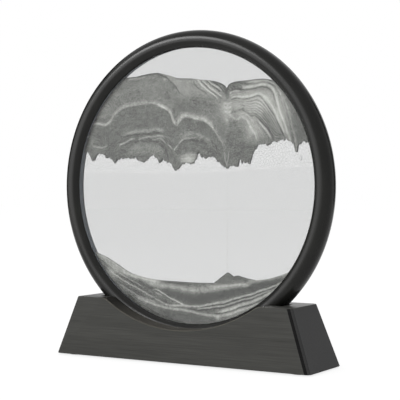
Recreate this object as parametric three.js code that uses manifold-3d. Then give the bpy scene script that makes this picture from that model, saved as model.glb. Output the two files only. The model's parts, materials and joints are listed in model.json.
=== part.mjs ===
import * as THREE from 'three';
import { mergeVertices } from 'three/addons/utils/BufferGeometryUtils.js';
import Module from 'manifold-3d';

const wasm = await Module();
wasm.setup();

// Moving sand picture: a round cell of liquid, sand and air in a two-part ring, standing in a
// slotted base. Millimetres, +Z up, front towards -Y, origin on the table under the base's middle.

// Ring
const RING_DIAMETER = 180;
const RIM_WALL = 3;
const LIP_WALL = 2.3;
const LIP_OVERLAP = 7;
const REAR_LIP_OVERLAP = 5.2;
const LIP_NOSE = 1.6;
const LIP_CLEARANCE = 0.1;
const SECTION_POWER = 2.2;
const RING_SEAM = 0.2;
const TONGUE_WIDTH = 0.8;
const TONGUE_HEIGHT = 0.8;
const TONGUE_CLEARANCE = 0.2;

// Glass cell
const PANE_THICKNESS = 1.5;
const CELL_GAP = 3.2;
const CELL_CLEARANCE = 0.4;
const GASKET_THICKNESS = 0.6;
const GASKET_MARGIN = 1.1;
const GASKET_CLEARANCE = 0.3;
const SPACER_SETBACK = 0.9;

// Filling port in the rim, turned from the top towards -X
const PORT_ANGLE = THREE.MathUtils.degToRad(-68);
const PLUG_STEM_DIAMETER = 1.8;
const PLUG_HEAD_DIAMETER = 4;
const PLUG_RECESS = 0.4;
const PLUG_CLEARANCE = 0.3;

// Base
const BASE_LENGTH = 169.6;
const BASE_TOP_LENGTH = 144.6;
const BASE_DEPTH = 40.4;
const BASE_TOP_DEPTH = 32.3;
const BASE_HEIGHT = 34.3;
const BASE_EDGE_RADIUS = 0.6;
const SLOT_FLOOR = 10.3;
const SLOT_CLEARANCE = 0.3;
const SLOT_SIDE_CLEARANCE = 0.5;
const ARC_EASE = 0.7;
const ARC_FILLET = 8;
const LIP_SHOWING = 2.2;
const PAD_DIAMETER = 12;
const PAD_THICKNESS = 0.8;
const PAD_INSET = 4;

// Filling
const FILL_CLEARANCE = 0.25;
const FILM_THICKNESS = 0.3;
const LAYER_GAP = 0.3;
const SEAM_THICKNESS = 2;
const THREAD_DIAMETER = 0.5;

// Lines between the layers: points across the cell, in hundredths of the cell's radius from its
// middle, so that the layers fill a cell of any size
const LINE_REACH = 150;
const FUNNEL = 29;
const BUBBLE_LEVEL = 10;
const TIP_COVER = 2.5;
const LOWER_LEVEL = -70;
const CONE_HEIGHT = 8;
const UPPER_TOP = [
  [-56.5, 81], [-30, 83], [-18.5, 80], [-7, 77.5], [8, 76.5], [FUNNEL - 12, 75],
  [FUNNEL - 4, 72], [FUNNEL, 67.5], [FUNNEL + 4, 72], [FUNNEL + 12, 74], [60, 74.5], [77, 71.5],
];
const UPPER_SEAM = [
  [-85, 47], [-77, 46.5], [-71, 49], [-67.5, 55], [-60, 59.5], [-49, 61.5], [-38, 61.5],
  [-27, 59.5], [-20.5, 56.5], [-17, 50.5], [-15, 46], [-12.5, 44.5], [-9, 47.5], [-3, 49.5],
  [5, 48], [FUNNEL - 17.5, 45], [FUNNEL - 12, 41], [FUNNEL - 4, 29.5], [FUNNEL, 15.5],
];
const UPPER_FOOT = [
  [-92.5, 25.5], [-89, 20], [-79.5, 24], [-70, 19.5], [-54, 21.5], [-42.5, 18.5], [-35.5, 22.5],
  [-28, 17.5], [-22.5, 19], [-12.5, 13.5], [-7, 19], [-0.5, 23], [FUNNEL - 18, 20],
  [FUNNEL - 11, 21], [FUNNEL, BUBBLE_LEVEL + TIP_COVER], [FUNNEL + 9.5, 14.5], [FUNNEL + 17.5, 16],
  [54, 26.5], [61, 29], [67.5, 31], [76.5, 31.5], [80.5, 29], [85, 25], [88, 29], [95, 29],
];
const BUBBLE_FOOT = [
  [-96, BUBBLE_LEVEL + 1], [-62.5, BUBBLE_LEVEL], [7.5, BUBBLE_LEVEL - 0.5],
  [57.5, BUBBLE_LEVEL + 1.5], [96, BUBBLE_LEVEL + 3.5],
];
const LOWER_TOP = [
  [-84, -52], [-75, -55.5], [-56, -64], [-43, -68], [-22.5, LOWER_LEVEL], [0, LOWER_LEVEL - 0.5],
  [20, LOWER_LEVEL], [46, -68], [57.5, -65.5], [65.5, -63], [79.5, -59.5],
];
const DRIFT_FOOT = [
  [-66.5, -70.5], [-53, -77.5], [-43, -81.5], [-32, -85.5], [-15, -87.5], [-4, -87.5],
  [10, -86], [20.5, -82.5], [42.5, -76], [62, -69], [78, -63.5],
];
const CONE_TOP = [
  [FUNNEL - 14, LOWER_LEVEL - 4], [FUNNEL - 5.5, LOWER_LEVEL + 0.45 * CONE_HEIGHT],
  [FUNNEL, LOWER_LEVEL + CONE_HEIGHT], [FUNNEL + 6, LOWER_LEVEL + 0.62 * CONE_HEIGHT],
  [FUNNEL + 9, LOWER_LEVEL + 0.75 * CONE_HEIGHT], [FUNNEL + 16.5, LOWER_LEVEL + 0.55 * CONE_HEIGHT],
  [FUNNEL + 27.5, LOWER_LEVEL - 1.5],
];

// Smoothness
const TURN_STEPS = 64;
const SLOT_STEPS = 128;
const SECTION_STEPS = 8;
const CORNER_STEPS = 3;
const LINE_STEPS = 2;
const PLUG_STEPS = 16;

// Sizes that follow
const ringRadius = RING_DIAMETER / 2;
const pocketRadius = ringRadius - RIM_WALL;
const paneRadius = pocketRadius - CELL_CLEARANCE;
const windowRadius = paneRadius - LIP_OVERLAP;
const rearWindowRadius = paneRadius - REAR_LIP_OVERLAP;
const spacerRadius = windowRadius + SPACER_SETBACK;
const halfGap = CELL_GAP / 2;
const paneFace = halfGap + PANE_THICKNESS;
const lipBack = paneFace + LIP_CLEARANCE;
const gasketSeat = paneFace + GASKET_THICKNESS;
const halfRingDepth = gasketSeat + LIP_WALL;
const baseTop = PAD_THICKNESS + BASE_HEIGHT;
const ringCentre = PAD_THICKNESS + SLOT_FLOOR + ringRadius;
const fillRadius = spacerRadius - FILL_CLEARANCE;
const fillDepth = CELL_GAP - 2 * (FILM_THICKNESS + 2 * FILL_CLEARANCE);
const share = fillRadius / 100;

// Finishes
const finish = (color, roughness, extra = {}) =>
  new THREE.MeshStandardMaterial({ color, roughness, metalness: 0, ...extra });
const blackPlastic = finish(0x1d1d1b, 0.42);
const stainedWood = finish(0x393937, 0.55);
const clearGlass = finish(0xe9eeee, 0.03, { transparent: true, opacity: 0.2 });
const clearLiquid = finish(0xd8dad9, 0.05, { transparent: true, opacity: 0.25 });
const bubbleFoam = finish(0xf4f5f5, 0.2, { transparent: true, opacity: 0.6 });
const greySealant = finish(0x51565c, 0.7);
const whiteSilicone = finish(0xc9cac6, 0.6);
const blackFoam = finish(0x171717, 0.95);
const greySand = finish(0x7b7d7a, 0.95);
const paleSand = finish(0xb4b6b1, 0.95);
const stripedSand = finish(0x8f918c, 0.95);
const darkSand = finish(0x62635f, 0.95);

function piece(name, geometry, material) {
  const mesh = new THREE.Mesh(geometry, material);
  mesh.name = name;
  return mesh;
}

// A closed mesh as a solid that can be cut and joined, and back again
function solid(geometry) {
  const bare = geometry.clone();
  bare.deleteAttribute('normal');
  bare.deleteAttribute('uv');
  const merged = mergeVertices(bare);
  return new wasm.Manifold(new wasm.Mesh({
    numProp: 3,
    vertProperties: new Float32Array(merged.attributes.position.array),
    triVerts: new Uint32Array(merged.index.array),
  }));
}

function geometryOf(body) {
  const { vertProperties, triVerts } = body.getMesh();
  const geometry = new THREE.BufferGeometry();
  geometry.setAttribute('position', new THREE.BufferAttribute(vertProperties, 3));
  geometry.setIndex(new THREE.BufferAttribute(triVerts, 1));
  geometry.computeVertexNormals();
  return geometry;
}

// Round pieces stand on edge, turned about the Y axis
const turned = (profile) =>
  new THREE.LatheGeometry([...profile, profile[0]].map(([r, y]) => new THREE.Vector2(r, y)), TURN_STEPS);

const hoop = (inner, outer, low, high) =>
  turned([[inner, low], [outer, low], [outer, high], [inner, high]]);

function disc(radius, thickness, middle) {
  const geometry = new THREE.CylinderGeometry(radius, radius, thickness, TURN_STEPS);
  geometry.translate(0, middle, 0);
  return geometry;
}

// A flat outline in X and Z, given a depth along Y
function slab(points, depth) {
  const geometry = new THREE.ExtrudeGeometry(new THREE.Shape(points), { depth, bevelEnabled: false });
  geometry.rotateX(Math.PI / 2);
  geometry.translate(0, depth / 2, 0);
  return solid(geometry);
}

// Ring halves: a rounded section cut off by the pane, with a tongue or groove at the parting plane
function ringHalf(window, jointWidth, jointRise) {
  const waist = (1 - (lipBack / halfRingDepth) ** SECTION_POWER) ** (1 / SECTION_POWER);
  const halfWidth = (ringRadius - window) / (1 + waist);
  const angleAt = (depth) => Math.asin((depth / halfRingDepth) ** (SECTION_POWER / 2));
  const parting = -RING_SEAM / 2;
  const first = Math.PI - angleAt(lipBack);
  const last = angleAt(RING_SEAM / 2);
  const rounded = Array.from({ length: SECTION_STEPS + 1 }, (_, step) => {
    const angle = THREE.MathUtils.lerp(first, last, step / SECTION_STEPS);
    const across = Math.sign(Math.cos(angle)) * Math.abs(Math.cos(angle)) ** (2 / SECTION_POWER);
    const deep = Math.sin(angle) ** (2 / SECTION_POWER);
    return [ringRadius - halfWidth + halfWidth * across, -halfRingDepth * deep];
  });
  const jointRadius = (ringRadius + pocketRadius) / 2;
  return [
    ...rounded,
    [jointRadius + jointWidth / 2, parting],
    [jointRadius + jointWidth / 2, parting + jointRise],
    [jointRadius - jointWidth / 2, parting + jointRise],
    [jointRadius - jointWidth / 2, parting],
    [pocketRadius, parting],
    [pocketRadius, -gasketSeat],
    [window + LIP_NOSE, -gasketSeat],
    [window + LIP_NOSE, -lipBack],
  ];
}

// A round bar that lies along the filling port, between two distances from the ring's middle
function portBar(diameter, from, to) {
  const bar = new THREE.CylinderGeometry(diameter / 2, diameter / 2, to - from, PLUG_STEPS);
  bar.rotateX(Math.PI / 2);
  bar.translate(0, 0, (from + to) / 2);
  bar.rotateY(PORT_ANGLE);
  return solid(bar);
}

const rimHole = portBar(PLUG_HEAD_DIAMETER + 2 * PLUG_CLEARANCE, paneRadius, ringRadius + RIM_WALL);
const spacerHole = portBar(PLUG_STEM_DIAMETER + 2 * PLUG_CLEARANCE, spacerRadius - RIM_WALL, pocketRadius);

function frontRing() {
  const groove = TONGUE_HEIGHT - RING_SEAM + TONGUE_CLEARANCE;
  const half = turned(ringHalf(windowRadius, TONGUE_WIDTH + 2 * TONGUE_CLEARANCE, -groove));
  return geometryOf(solid(half).subtract(rimHole));
}

function rearRing() {
  const half = ringHalf(rearWindowRadius, TONGUE_WIDTH, TONGUE_HEIGHT);
  const mirrored = half.map(([r, y]) => [r, -y]).reverse();
  return geometryOf(solid(turned(mirrored)).subtract(rimHole));
}

const pane = (side) => disc(paneRadius, PANE_THICKNESS, side * (halfGap + PANE_THICKNESS / 2));

function gasket(side) {
  const [low, high] = [side * paneFace, side * gasketSeat].sort((a, b) => a - b);
  const window = side < 0 ? windowRadius : rearWindowRadius;
  return hoop(window + LIP_NOSE + GASKET_CLEARANCE, paneRadius - GASKET_MARGIN, low, high);
}

function spacer() {
  return geometryOf(solid(hoop(spacerRadius, paneRadius, -halfGap, halfGap)).subtract(spacerHole));
}

function fillPlug() {
  const tip = ringRadius - PLUG_RECESS;
  const stem = portBar(PLUG_STEM_DIAMETER, spacerRadius + PLUG_CLEARANCE, tip);
  return geometryOf(stem.add(portBar(PLUG_HEAD_DIAMETER, paneRadius + PLUG_CLEARANCE, tip)));
}

// Films of liquid that the sand slides on, one against each pane
const film = (side) =>
  disc(fillRadius, FILM_THICKNESS, side * (halfGap - FILL_CLEARANCE - FILM_THICKNESS / 2));

// Sand, bubbles and liquid: each layer lies between two lines, and the round cell trims it
function line(points, lift = 0) {
  const first = points[0];
  const last = points[points.length - 1];
  const all = [[-LINE_REACH, first[1]], ...points, [LINE_REACH, last[1]]];
  const curve = new THREE.CatmullRomCurve3(all.map(([x, z]) => new THREE.Vector3(x * share, z * share, 0)));
  return curve.getPoints((all.length - 1) * LINE_STEPS).map(({ x, y }) => new THREE.Vector2(x, y + lift));
}

const roofLine = line([[0, LINE_REACH]]);
const floorLine = line([[0, -LINE_REACH]]);
const between = (low, high) => slab([...low, ...[...high].reverse()], CELL_GAP);
const cell = solid(disc(fillRadius, fillDepth, 0));
const layer = (low, high) => between(low, high).intersect(cell);

function threadBar(low, high, diameter) {
  const bar = new THREE.CylinderGeometry(diameter / 2, diameter / 2, high - low, PLUG_STEPS);
  bar.rotateX(Math.PI / 2);
  bar.translate(FUNNEL * share, 0, (low + high) / 2);
  return bar;
}

function upperSandPieces() {
  const halfSeam = SEAM_THICKNESS / 2;
  const wallX = FUNNEL * share;
  const bound = LINE_REACH * share;
  const besideFunnel = (side) => slab([
    new THREE.Vector2(wallX + side * LAYER_GAP / 2, -bound),
    new THREE.Vector2(wallX + side * LAYER_GAP / 2, bound),
    new THREE.Vector2(side * bound, bound),
    new THREE.Vector2(side * bound, -bound),
  ], CELL_GAP);
  const sand = layer(line(UPPER_FOOT), line(UPPER_TOP));
  const left = sand.intersect(besideFunnel(-1));
  const crest = left.intersect(between(line(UPPER_SEAM, halfSeam + LAYER_GAP), roofLine));
  const seam = left.intersect(between(line(UPPER_SEAM, -halfSeam), line(UPPER_SEAM, halfSeam)));
  const bank = left.intersect(between(floorLine, line(UPPER_SEAM, -halfSeam - LAYER_GAP)));
  return [
    piece('upper_sand_crest', geometryOf(crest), greySand),
    piece('upper_sand_seam', geometryOf(seam), paleSand),
    piece('upper_sand_bank', geometryOf(bank), greySand),
    piece('upper_sand_fan', geometryOf(sand.intersect(besideFunnel(1))), stripedSand),
  ];
}

function lowerSandPieces() {
  const underTop = between(floorLine, line(LOWER_TOP, LAYER_GAP));
  const cone = layer(floorLine, line(CONE_TOP)).subtract(underTop);
  return [
    piece('fallen_cone', geometryOf(cone), darkSand),
    piece('lower_sand_drift', geometryOf(layer(line(DRIFT_FOOT, LAYER_GAP), line(LOWER_TOP))), darkSand),
    piece('lower_sand_bed', geometryOf(layer(floorLine, line(DRIFT_FOOT))), paleSand),
  ];
}

function liquidPieces() {
  const tip = (BUBBLE_LEVEL + TIP_COVER) * share;
  const peak = (LOWER_LEVEL + CONE_HEIGHT) * share;
  const tunnel = solid(threadBar(-LINE_REACH * share, tip, THREAD_DIAMETER + 2 * LAYER_GAP));
  const bubbles = layer(line(BUBBLE_FOOT), line(UPPER_FOOT, -LAYER_GAP)).subtract(tunnel);
  const aboveSand = layer(line(LOWER_TOP, LAYER_GAP), line(BUBBLE_FOOT, -LAYER_GAP));
  const underCone = between(floorLine, line(CONE_TOP, LAYER_GAP));
  const lowerLiquid = aboveSand.subtract(underCone).subtract(tunnel);
  return [
    piece('bubble_layer', geometryOf(bubbles), bubbleFoam),
    piece('falling_sand', threadBar(peak + LAYER_GAP, tip - LAYER_GAP, THREAD_DIAMETER), darkSand),
    piece('upper_liquid', geometryOf(layer(line(UPPER_TOP, LAYER_GAP), roofLine)), clearLiquid),
    piece('lower_liquid', geometryOf(lowerLiquid), clearLiquid),
    piece('front_liquid_film', film(-1), clearLiquid),
    piece('rear_liquid_film', film(1), clearLiquid),
  ];
}

// Base: a block that narrows upwards, with its edges rounded
function roundedOutline(halfLength, halfDepth, radius) {
  const corners = [[1, 1], [-1, 1], [-1, -1], [1, -1]];
  return corners.flatMap(([sideX, sideY], quarter) =>
    Array.from({ length: CORNER_STEPS + 1 }, (_, step) => {
      const angle = (quarter + step / CORNER_STEPS) * Math.PI / 2;
      return [
        sideX * (halfLength - radius) + radius * Math.cos(angle),
        sideY * (halfDepth - radius) + radius * Math.sin(angle),
      ];
    }));
}

// Heights above the base's foot, each with how far the rounding draws the outline in there
function baseLevels() {
  const round = BASE_EDGE_RADIUS;
  const angles = Array.from({ length: CORNER_STEPS }, (_, step) => (step / CORNER_STEPS) * Math.PI / 2);
  const rounding = angles.map((angle) => [round * (1 - Math.cos(angle)), round * (1 - Math.sin(angle))]);
  const foot = [...rounding, [round, 0]];
  const top = foot.map(([height, inset]) => [BASE_HEIGHT - height, inset]).reverse();
  return [...foot, ...top];
}

function baseBlank() {
  const outlines = baseLevels().map(([height, inset]) => {
    const rise = height / BASE_HEIGHT;
    const halfLength = THREE.MathUtils.lerp(BASE_LENGTH, BASE_TOP_LENGTH, rise) / 2;
    const halfDepth = THREE.MathUtils.lerp(BASE_DEPTH, BASE_TOP_DEPTH, rise) / 2;
    return roundedOutline(halfLength - inset, halfDepth - inset, BASE_EDGE_RADIUS)
      .map(([x, y]) => [x, y, PAD_THICKNESS + height]);
  });
  const count = outlines[0].length;
  const last = (outlines.length - 1) * count;
  const triangles = [];
  for (let start = 0; start < last; start += count) {
    for (let k = 0; k < count; k += 1) {
      const a = start + k;
      const b = start + (k + 1) % count;
      triangles.push(a, b, b + count, a, b + count, a + count);
    }
  }
  for (let k = 1; k < count - 1; k += 1) {
    triangles.push(0, k + 1, k);
    triangles.push(last, last + k, last + k + 1);
  }
  const geometry = new THREE.BufferGeometry();
  geometry.setAttribute('position', new THREE.Float32BufferAttribute(outlines.flat(2), 3));
  geometry.setIndex(triangles);
  return solid(geometry);
}

// The round cut-out that lets the picture show, with softened corners at the base's top
function arcCut() {
  const arcRadius = ringRadius + ARC_EASE;
  const centre = ringCentre - windowRadius - LIP_SHOWING + arcRadius;
  const filletZ = baseTop - ARC_FILLET;
  const filletX = Math.sqrt((arcRadius + ARC_FILLET) ** 2 - (centre - filletZ) ** 2);
  const swing = Math.atan2(filletX, centre - filletZ);
  const down = -Math.PI / 2;
  const shape = new THREE.Shape();
  shape.moveTo(-filletX, centre);
  shape.lineTo(-filletX, baseTop);
  shape.absarc(-filletX, filletZ, ARC_FILLET, -down, -down - swing, true);
  shape.absarc(0, centre, arcRadius, down - swing, down + swing, false);
  shape.absarc(filletX, filletZ, ARC_FILLET, -down + swing, -down, true);
  shape.lineTo(filletX, centre);
  return slab(shape.getPoints(TURN_STEPS / 2), 2 * BASE_DEPTH);
}

function baseBlock() {
  const slotWidth = 2 * (halfRingDepth + SLOT_SIDE_CLEARANCE);
  const slotRadius = ringRadius + SLOT_CLEARANCE;
  const slot = new THREE.CylinderGeometry(slotRadius, slotRadius, slotWidth, SLOT_STEPS);
  slot.translate(0, 0, ringCentre);
  return geometryOf(baseBlank().subtract(arcCut()).subtract(solid(slot)));
}

function footPads() {
  const padRadius = PAD_DIAMETER / 2;
  const x = BASE_LENGTH / 2 - PAD_INSET - padRadius;
  const y = BASE_DEPTH / 2 - PAD_INSET - padRadius;
  return [[-x, -y], [x, -y], [x, y], [-x, y]].map(([padX, padY], index) => {
    const pad = new THREE.CylinderGeometry(padRadius, padRadius, PAD_THICKNESS, PLUG_STEPS);
    pad.rotateX(Math.PI / 2);
    const mesh = piece(`foot_pad_${index + 1}`, pad, blackFoam);
    mesh.position.set(padX, padY, PAD_THICKNESS / 2);
    return mesh;
  });
}

const roundPicture = new THREE.Group();
roundPicture.position.z = ringCentre;
roundPicture.add(
  piece('front_ring', frontRing(), blackPlastic),
  piece('rear_ring', rearRing(), blackPlastic),
  piece('front_glass', pane(-1), clearGlass),
  piece('rear_glass', pane(1), clearGlass),
  piece('front_gasket', gasket(-1), blackFoam),
  piece('rear_gasket', gasket(1), blackFoam),
  piece('cell_spacer', spacer(), greySealant),
  piece('fill_plug', fillPlug(), whiteSilicone),
  ...upperSandPieces(),
  ...lowerSandPieces(),
  ...liquidPieces(),
);

const sandPicture = new THREE.Group();
sandPicture.add(roundPicture, piece('base_block', baseBlock(), stainedWood), ...footPads());

export default sandPicture;
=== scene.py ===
# %% [markdown]
# # A moving sand picture
# Two round panes hold a thin cell of liquid, sand and air bubbles. A black ring clamps the panes,
# and a slotted wooden base holds the ring upright, so that it can be turned over or lifted out.
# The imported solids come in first, because every piece here is built around them: each piece rides
# on the body that carries it, and stands for the plain solid that it refines.

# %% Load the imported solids
import json
import math

import bmesh
import bpy
import numpy as np
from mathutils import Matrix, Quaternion, Vector


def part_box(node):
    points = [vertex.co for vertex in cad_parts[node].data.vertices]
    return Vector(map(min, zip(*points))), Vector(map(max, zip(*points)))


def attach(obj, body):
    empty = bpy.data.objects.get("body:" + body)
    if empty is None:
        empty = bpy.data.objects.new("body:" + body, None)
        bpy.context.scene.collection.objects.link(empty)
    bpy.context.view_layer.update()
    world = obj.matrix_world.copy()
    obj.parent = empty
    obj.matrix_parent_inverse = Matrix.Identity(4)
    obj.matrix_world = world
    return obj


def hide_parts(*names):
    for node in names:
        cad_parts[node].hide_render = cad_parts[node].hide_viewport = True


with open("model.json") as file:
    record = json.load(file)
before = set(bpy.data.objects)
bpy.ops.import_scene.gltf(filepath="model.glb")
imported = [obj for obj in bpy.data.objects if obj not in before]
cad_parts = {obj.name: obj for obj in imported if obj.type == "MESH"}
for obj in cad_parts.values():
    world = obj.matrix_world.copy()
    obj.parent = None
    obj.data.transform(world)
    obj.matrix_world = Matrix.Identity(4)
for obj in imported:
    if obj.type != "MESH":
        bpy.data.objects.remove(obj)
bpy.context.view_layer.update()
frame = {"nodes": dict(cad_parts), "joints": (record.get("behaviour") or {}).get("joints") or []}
scene = bpy.context.scene
MM = 0.001
turn = next(joint for joint in frame["joints"] if joint["name"] == "turn")
middle = Vector(turn["pos_m"])
print("solids:", len(frame["nodes"]), "ring's middle:", [round(v, 4) for v in middle])

# %% [markdown]
# ## Helpers
# A place in the studio is given by two angles, round the object and up from its middle. A node is
# added together with its links, and a node group with its sockets, so that each tree reads as a list.

# %% Helpers for places and objects
def direction(around, above):
    """The way from the ring's middle to a place, by its angles in degrees: round from the front, and up."""
    a, b = math.radians(around), math.radians(above)
    return Vector((math.sin(a) * math.cos(b), -math.cos(a) * math.cos(b), math.sin(b)))


def linked(name, data):
    """A new object in the scene."""
    made = bpy.data.objects.new(name, data)
    scene.collection.objects.link(made)
    return made


def plain_mesh(obj):
    """Swap an object's modifiers for the mesh that they make."""
    made = bpy.data.meshes.new_from_object(obj.evaluated_get(bpy.context.evaluated_depsgraph_get()))
    obj.modifiers.clear()
    obj.data = made
    return made


# %% Helpers for node trees
def add(tree, kind, links=None, **settings):
    """Add a node. links gives its inputs a value, or an output to join to, or a node for its first output."""
    node = tree.nodes.new(kind)
    for name, value in settings.items():
        setattr(node, name, value)
    for name, value in (links or {}).items():
        if isinstance(value, bpy.types.Node):
            value = value.outputs[0]
        if isinstance(value, bpy.types.NodeSocket):
            tree.links.new(value, node.inputs[name])
        else:
            node.inputs[name].default_value = value
    return node


def emptied(owner):
    """The node tree of a material, world or light, without its first nodes."""
    owner.use_nodes = True
    owner.node_tree.nodes.clear()
    return owner.node_tree


def new_finish(name):
    """An empty material and its node tree."""
    made = bpy.data.materials.new(name)
    return made, emptied(made)


def new_group(name, kind, inputs, outputs):
    """A node group with sockets of the given kinds, and what comes in through them."""
    group = bpy.data.node_groups.new(name, f"{kind}NodeTree")
    for way, sockets in (("INPUT", inputs), ("OUTPUT", outputs)):
        for socket, of_kind in sockets.items():
            group.interface.new_socket(socket, in_out=way, socket_type=f"NodeSocket{of_kind}")
    return group, add(group, "NodeGroupInput").outputs


def run_nodes(obj, group, values):
    """Put an object's mesh through a Geometry Nodes group with the given inputs, and keep what comes out."""
    modifier = obj.modifiers.new(group.name, "NODES")
    modifier.node_group = group
    sockets = (item for item in group.interface.items_tree if item.in_out == "INPUT")
    identifiers = {socket.name: socket.identifier for socket in sockets}
    for name, value in values.items():
        modifier[identifiers[name]] = value
    return plain_mesh(obj)


def seen_directly(tree):
    """1 for a ray from the camera, or one that a mirror or glass has sent on."""
    path = add(tree, "ShaderNodeLightPath")
    either = add(tree, "ShaderNodeMath", {0: path.outputs["Is Camera Ray"], 1: path.outputs["Is Glossy Ray"]},
                 operation="MAXIMUM")
    return add(tree, "ShaderNodeMath", {0: either, 1: path.outputs["Is Transmission Ray"]},
               operation="MAXIMUM").outputs[0]


# %% [markdown]
# ## Camera
# A long lens stands a little to the right of the picture, level with its middle. The shift moves
# the frame without turning the camera, so that upright edges stay parallel. The camera was held a
# hair off level, which the roll repeats.

# %% Camera
AROUND, ABOVE, AWAY, ROLL = 31.81, -0.11, 0.6762, -0.0027
back = direction(AROUND, ABOVE)
lens = bpy.data.cameras.new("photo_camera")
lens.sensor_width = 36
lens.lens = 105.06
lens.shift_x = 0.0187
lens.shift_y = -0.0355
camera = linked("photo_camera", lens)
camera.location = middle + back * AWAY
camera.rotation_euler = (back.to_track_quat("Z", "Y") @ Quaternion((0, 0, 1), ROLL)).to_euler()
scene.camera = camera
print("camera:", [round(v, 3) for v in camera.location])

# %% [markdown]
# ## Studio
# A high lamp in front lights everything. A wide one gives the satin ring its broad highlights, and
# its cloth is brightest in the middle, so that they die away softly. It stands where the panes would
# mirror it, so it is linked to the ring alone. Three more fill in from the front, the right and
# above, and leave the ring out, because they would draw more lines along it. The world is plain
# white where it is looked at, mirrored or seen through, and dimmer where it only fills in the
# shadows. Two black cards beside the ring, which only mirrored rays meet, keep its edges dark
# against the white. Light has to pass many clear faces in a row to reach the sand, so that limit is
# raised.

# %% World and lamps
FILL_LIGHT = 0.42
scene.view_settings.view_transform = "Standard"
scene.cycles.transparent_max_bounces = 32
scene.world = bpy.data.worlds.new("studio")
tree = emptied(scene.world)
strength = add(tree, "ShaderNodeMapRange", {"Value": seen_directly(tree), "To Min": FILL_LIGHT})
sky = add(tree, "ShaderNodeBackground", {"Color": (1, 1, 1, 1), "Strength": strength})
add(tree, "ShaderNodeOutputWorld", {"Surface": sky})


def lamp(name, around, above, away, wide, tall, watts):
    """A soft rectangular lamp that faces the ring's middle, placed by its angles and its distance."""
    light = bpy.data.lights.new(name, "AREA")
    light.shape = "RECTANGLE"
    light.size, light.size_y, light.energy = wide, tall, watts
    made = linked(name, light)
    towards = direction(around, above)
    made.location = middle + towards * away
    made.rotation_euler = towards.to_track_quat("Z", "Y").to_euler()
    return made


lamp("high_lamp", -35, 22, 1.35, 0.6, 0.4, 10)
ring_lamp = lamp("ring_lamp", -38, -3, 1.2, 1.9, 1.2, 20)
ring_pieces = bpy.data.collections.new("lit_by_ring_lamp")
ring_lamp.light_linking.receiver_collection = ring_pieces
all_but_ring = bpy.data.collections.new("all_but_the_ring")
for name, *place in (("front_lamp", -2, 20, 1.35, 0.7, 0.5, 8), ("side_lamp", 70, 24, 1.5, 1.2, 1.0, 6),
                     ("top_lamp", 0, 86, 1.4, 1.6, 1.6, 9)):
    lamp(name, *place).light_linking.receiver_collection = all_but_ring
print("lamps:", len(bpy.data.lights))

# %% Bright middle of the ring's lamp
CLOTH_SPREAD = (0.23, 0.38)
tree = emptied(ring_lamp.data)
cloth = add(tree, "ShaderNodeNewGeometry")
from_middle = add(tree, "ShaderNodeVectorMath", {0: cloth.outputs["Parametric"], 1: (0.5, 0.5, 0)},
                  operation="SUBTRACT")
in_spreads = add(tree, "ShaderNodeVectorMath", {
    0: from_middle, 1: (1 / CLOTH_SPREAD[0], 1 / CLOTH_SPREAD[1], 0)}, operation="MULTIPLY")
squared = add(tree, "ShaderNodeVectorMath", {0: in_spreads, 1: in_spreads}, operation="DOT_PRODUCT")
halved = add(tree, "ShaderNodeMath", {0: squared.outputs["Value"], 1: -0.5}, operation="MULTIPLY")
falloff = add(tree, "ShaderNodeMath", {0: halved}, operation="EXPONENT")
shine = add(tree, "ShaderNodeEmission", {"Color": (1, 1, 1, 1), "Strength": falloff})
add(tree, "ShaderNodeOutputLight", {"Surface": shine})


# %% Black cards
def matt(name, grey):
    """A dull grey finish."""
    made, tree = new_finish(name)
    skin = add(tree, "ShaderNodeBsdfDiffuse", {"Color": (grey, grey, grey, 1)})
    add(tree, "ShaderNodeOutputMaterial", {"Surface": skin})
    return made


def flat_sheet(name, corners, finish):
    """One four-cornered face that belongs to the studio and not to the object."""
    mesh = bpy.data.meshes.new(name)
    mesh.from_pydata(corners, [], [(0, 1, 2, 3)])
    mesh.materials.append(finish)
    made = linked(name, mesh)
    return made


SQUARE = ((-1, -1), (1, -1), (1, 1), (-1, 1))
card_black = matt("card_black", 0.02)
for name, around, above, away, wide, tall in (("left_card", -108, 8, 0.8, 0.9, 0.8),
                                              ("right_card", 152, 0, 0.8, 0.3, 1.2)):
    towards = direction(around, above)
    turned_to = towards.to_track_quat("Z", "Y")
    card = flat_sheet(name, [middle + towards * away + turned_to @ Vector((x * wide / 2, y * tall / 2, 0))
                             for x, y in SQUARE], card_black)
    card.visible_camera = card.visible_diffuse = card.visible_transmission = card.visible_shadow = False
    print(name, "stands", away, "m off")

# %% [markdown]
# ## Floor
# The floor looks as white as the world, apart from a faint shadow: the camera sees a glow that dims
# where the object covers the sky, plus a little of the light that falls there. Other rays meet a
# plain pale floor.

# %% Floor
FLOOR_REACH = 4
pale_floor, tree = new_finish("pale_floor")
plain = add(tree, "ShaderNodeBsdfDiffuse", {"Color": (0.8, 0.8, 0.8, 1)})
open_sky = add(tree, "ShaderNodeAmbientOcclusion", {"Distance": 0.025}, samples=16)
dim = add(tree, "ShaderNodeMapRange", {"Value": open_sky.outputs["AO"], "To Min": 0.8, "To Max": 0.975})
glow = add(tree, "ShaderNodeEmission", {"Color": (1, 1, 1, 1), "Strength": dim})
catch = add(tree, "ShaderNodeBsdfDiffuse", {"Color": (0.06, 0.06, 0.06, 1)})
white = add(tree, "ShaderNodeAddShader", {0: glow, 1: catch})
shown = add(tree, "ShaderNodeMixShader", {0: seen_directly(tree), 1: plain, 2: white})
add(tree, "ShaderNodeOutputMaterial", {"Surface": shown})
flat_sheet("floor", [(x * FLOOR_REACH, y * FLOOR_REACH, 0) for x, y in SQUARE], pale_floor)
print("floor reaches", FLOOR_REACH, "m each way")

# %% [markdown]
# ## Finishes
# Moulded and foamed pieces share one effect: a fine speckle that shifts the colour, the roughness
# and the height together. It is a node group, so that each finish places it with its own values.
# Sand and wood get their own such groups further on, and one function makes a finish of any of them.

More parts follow.
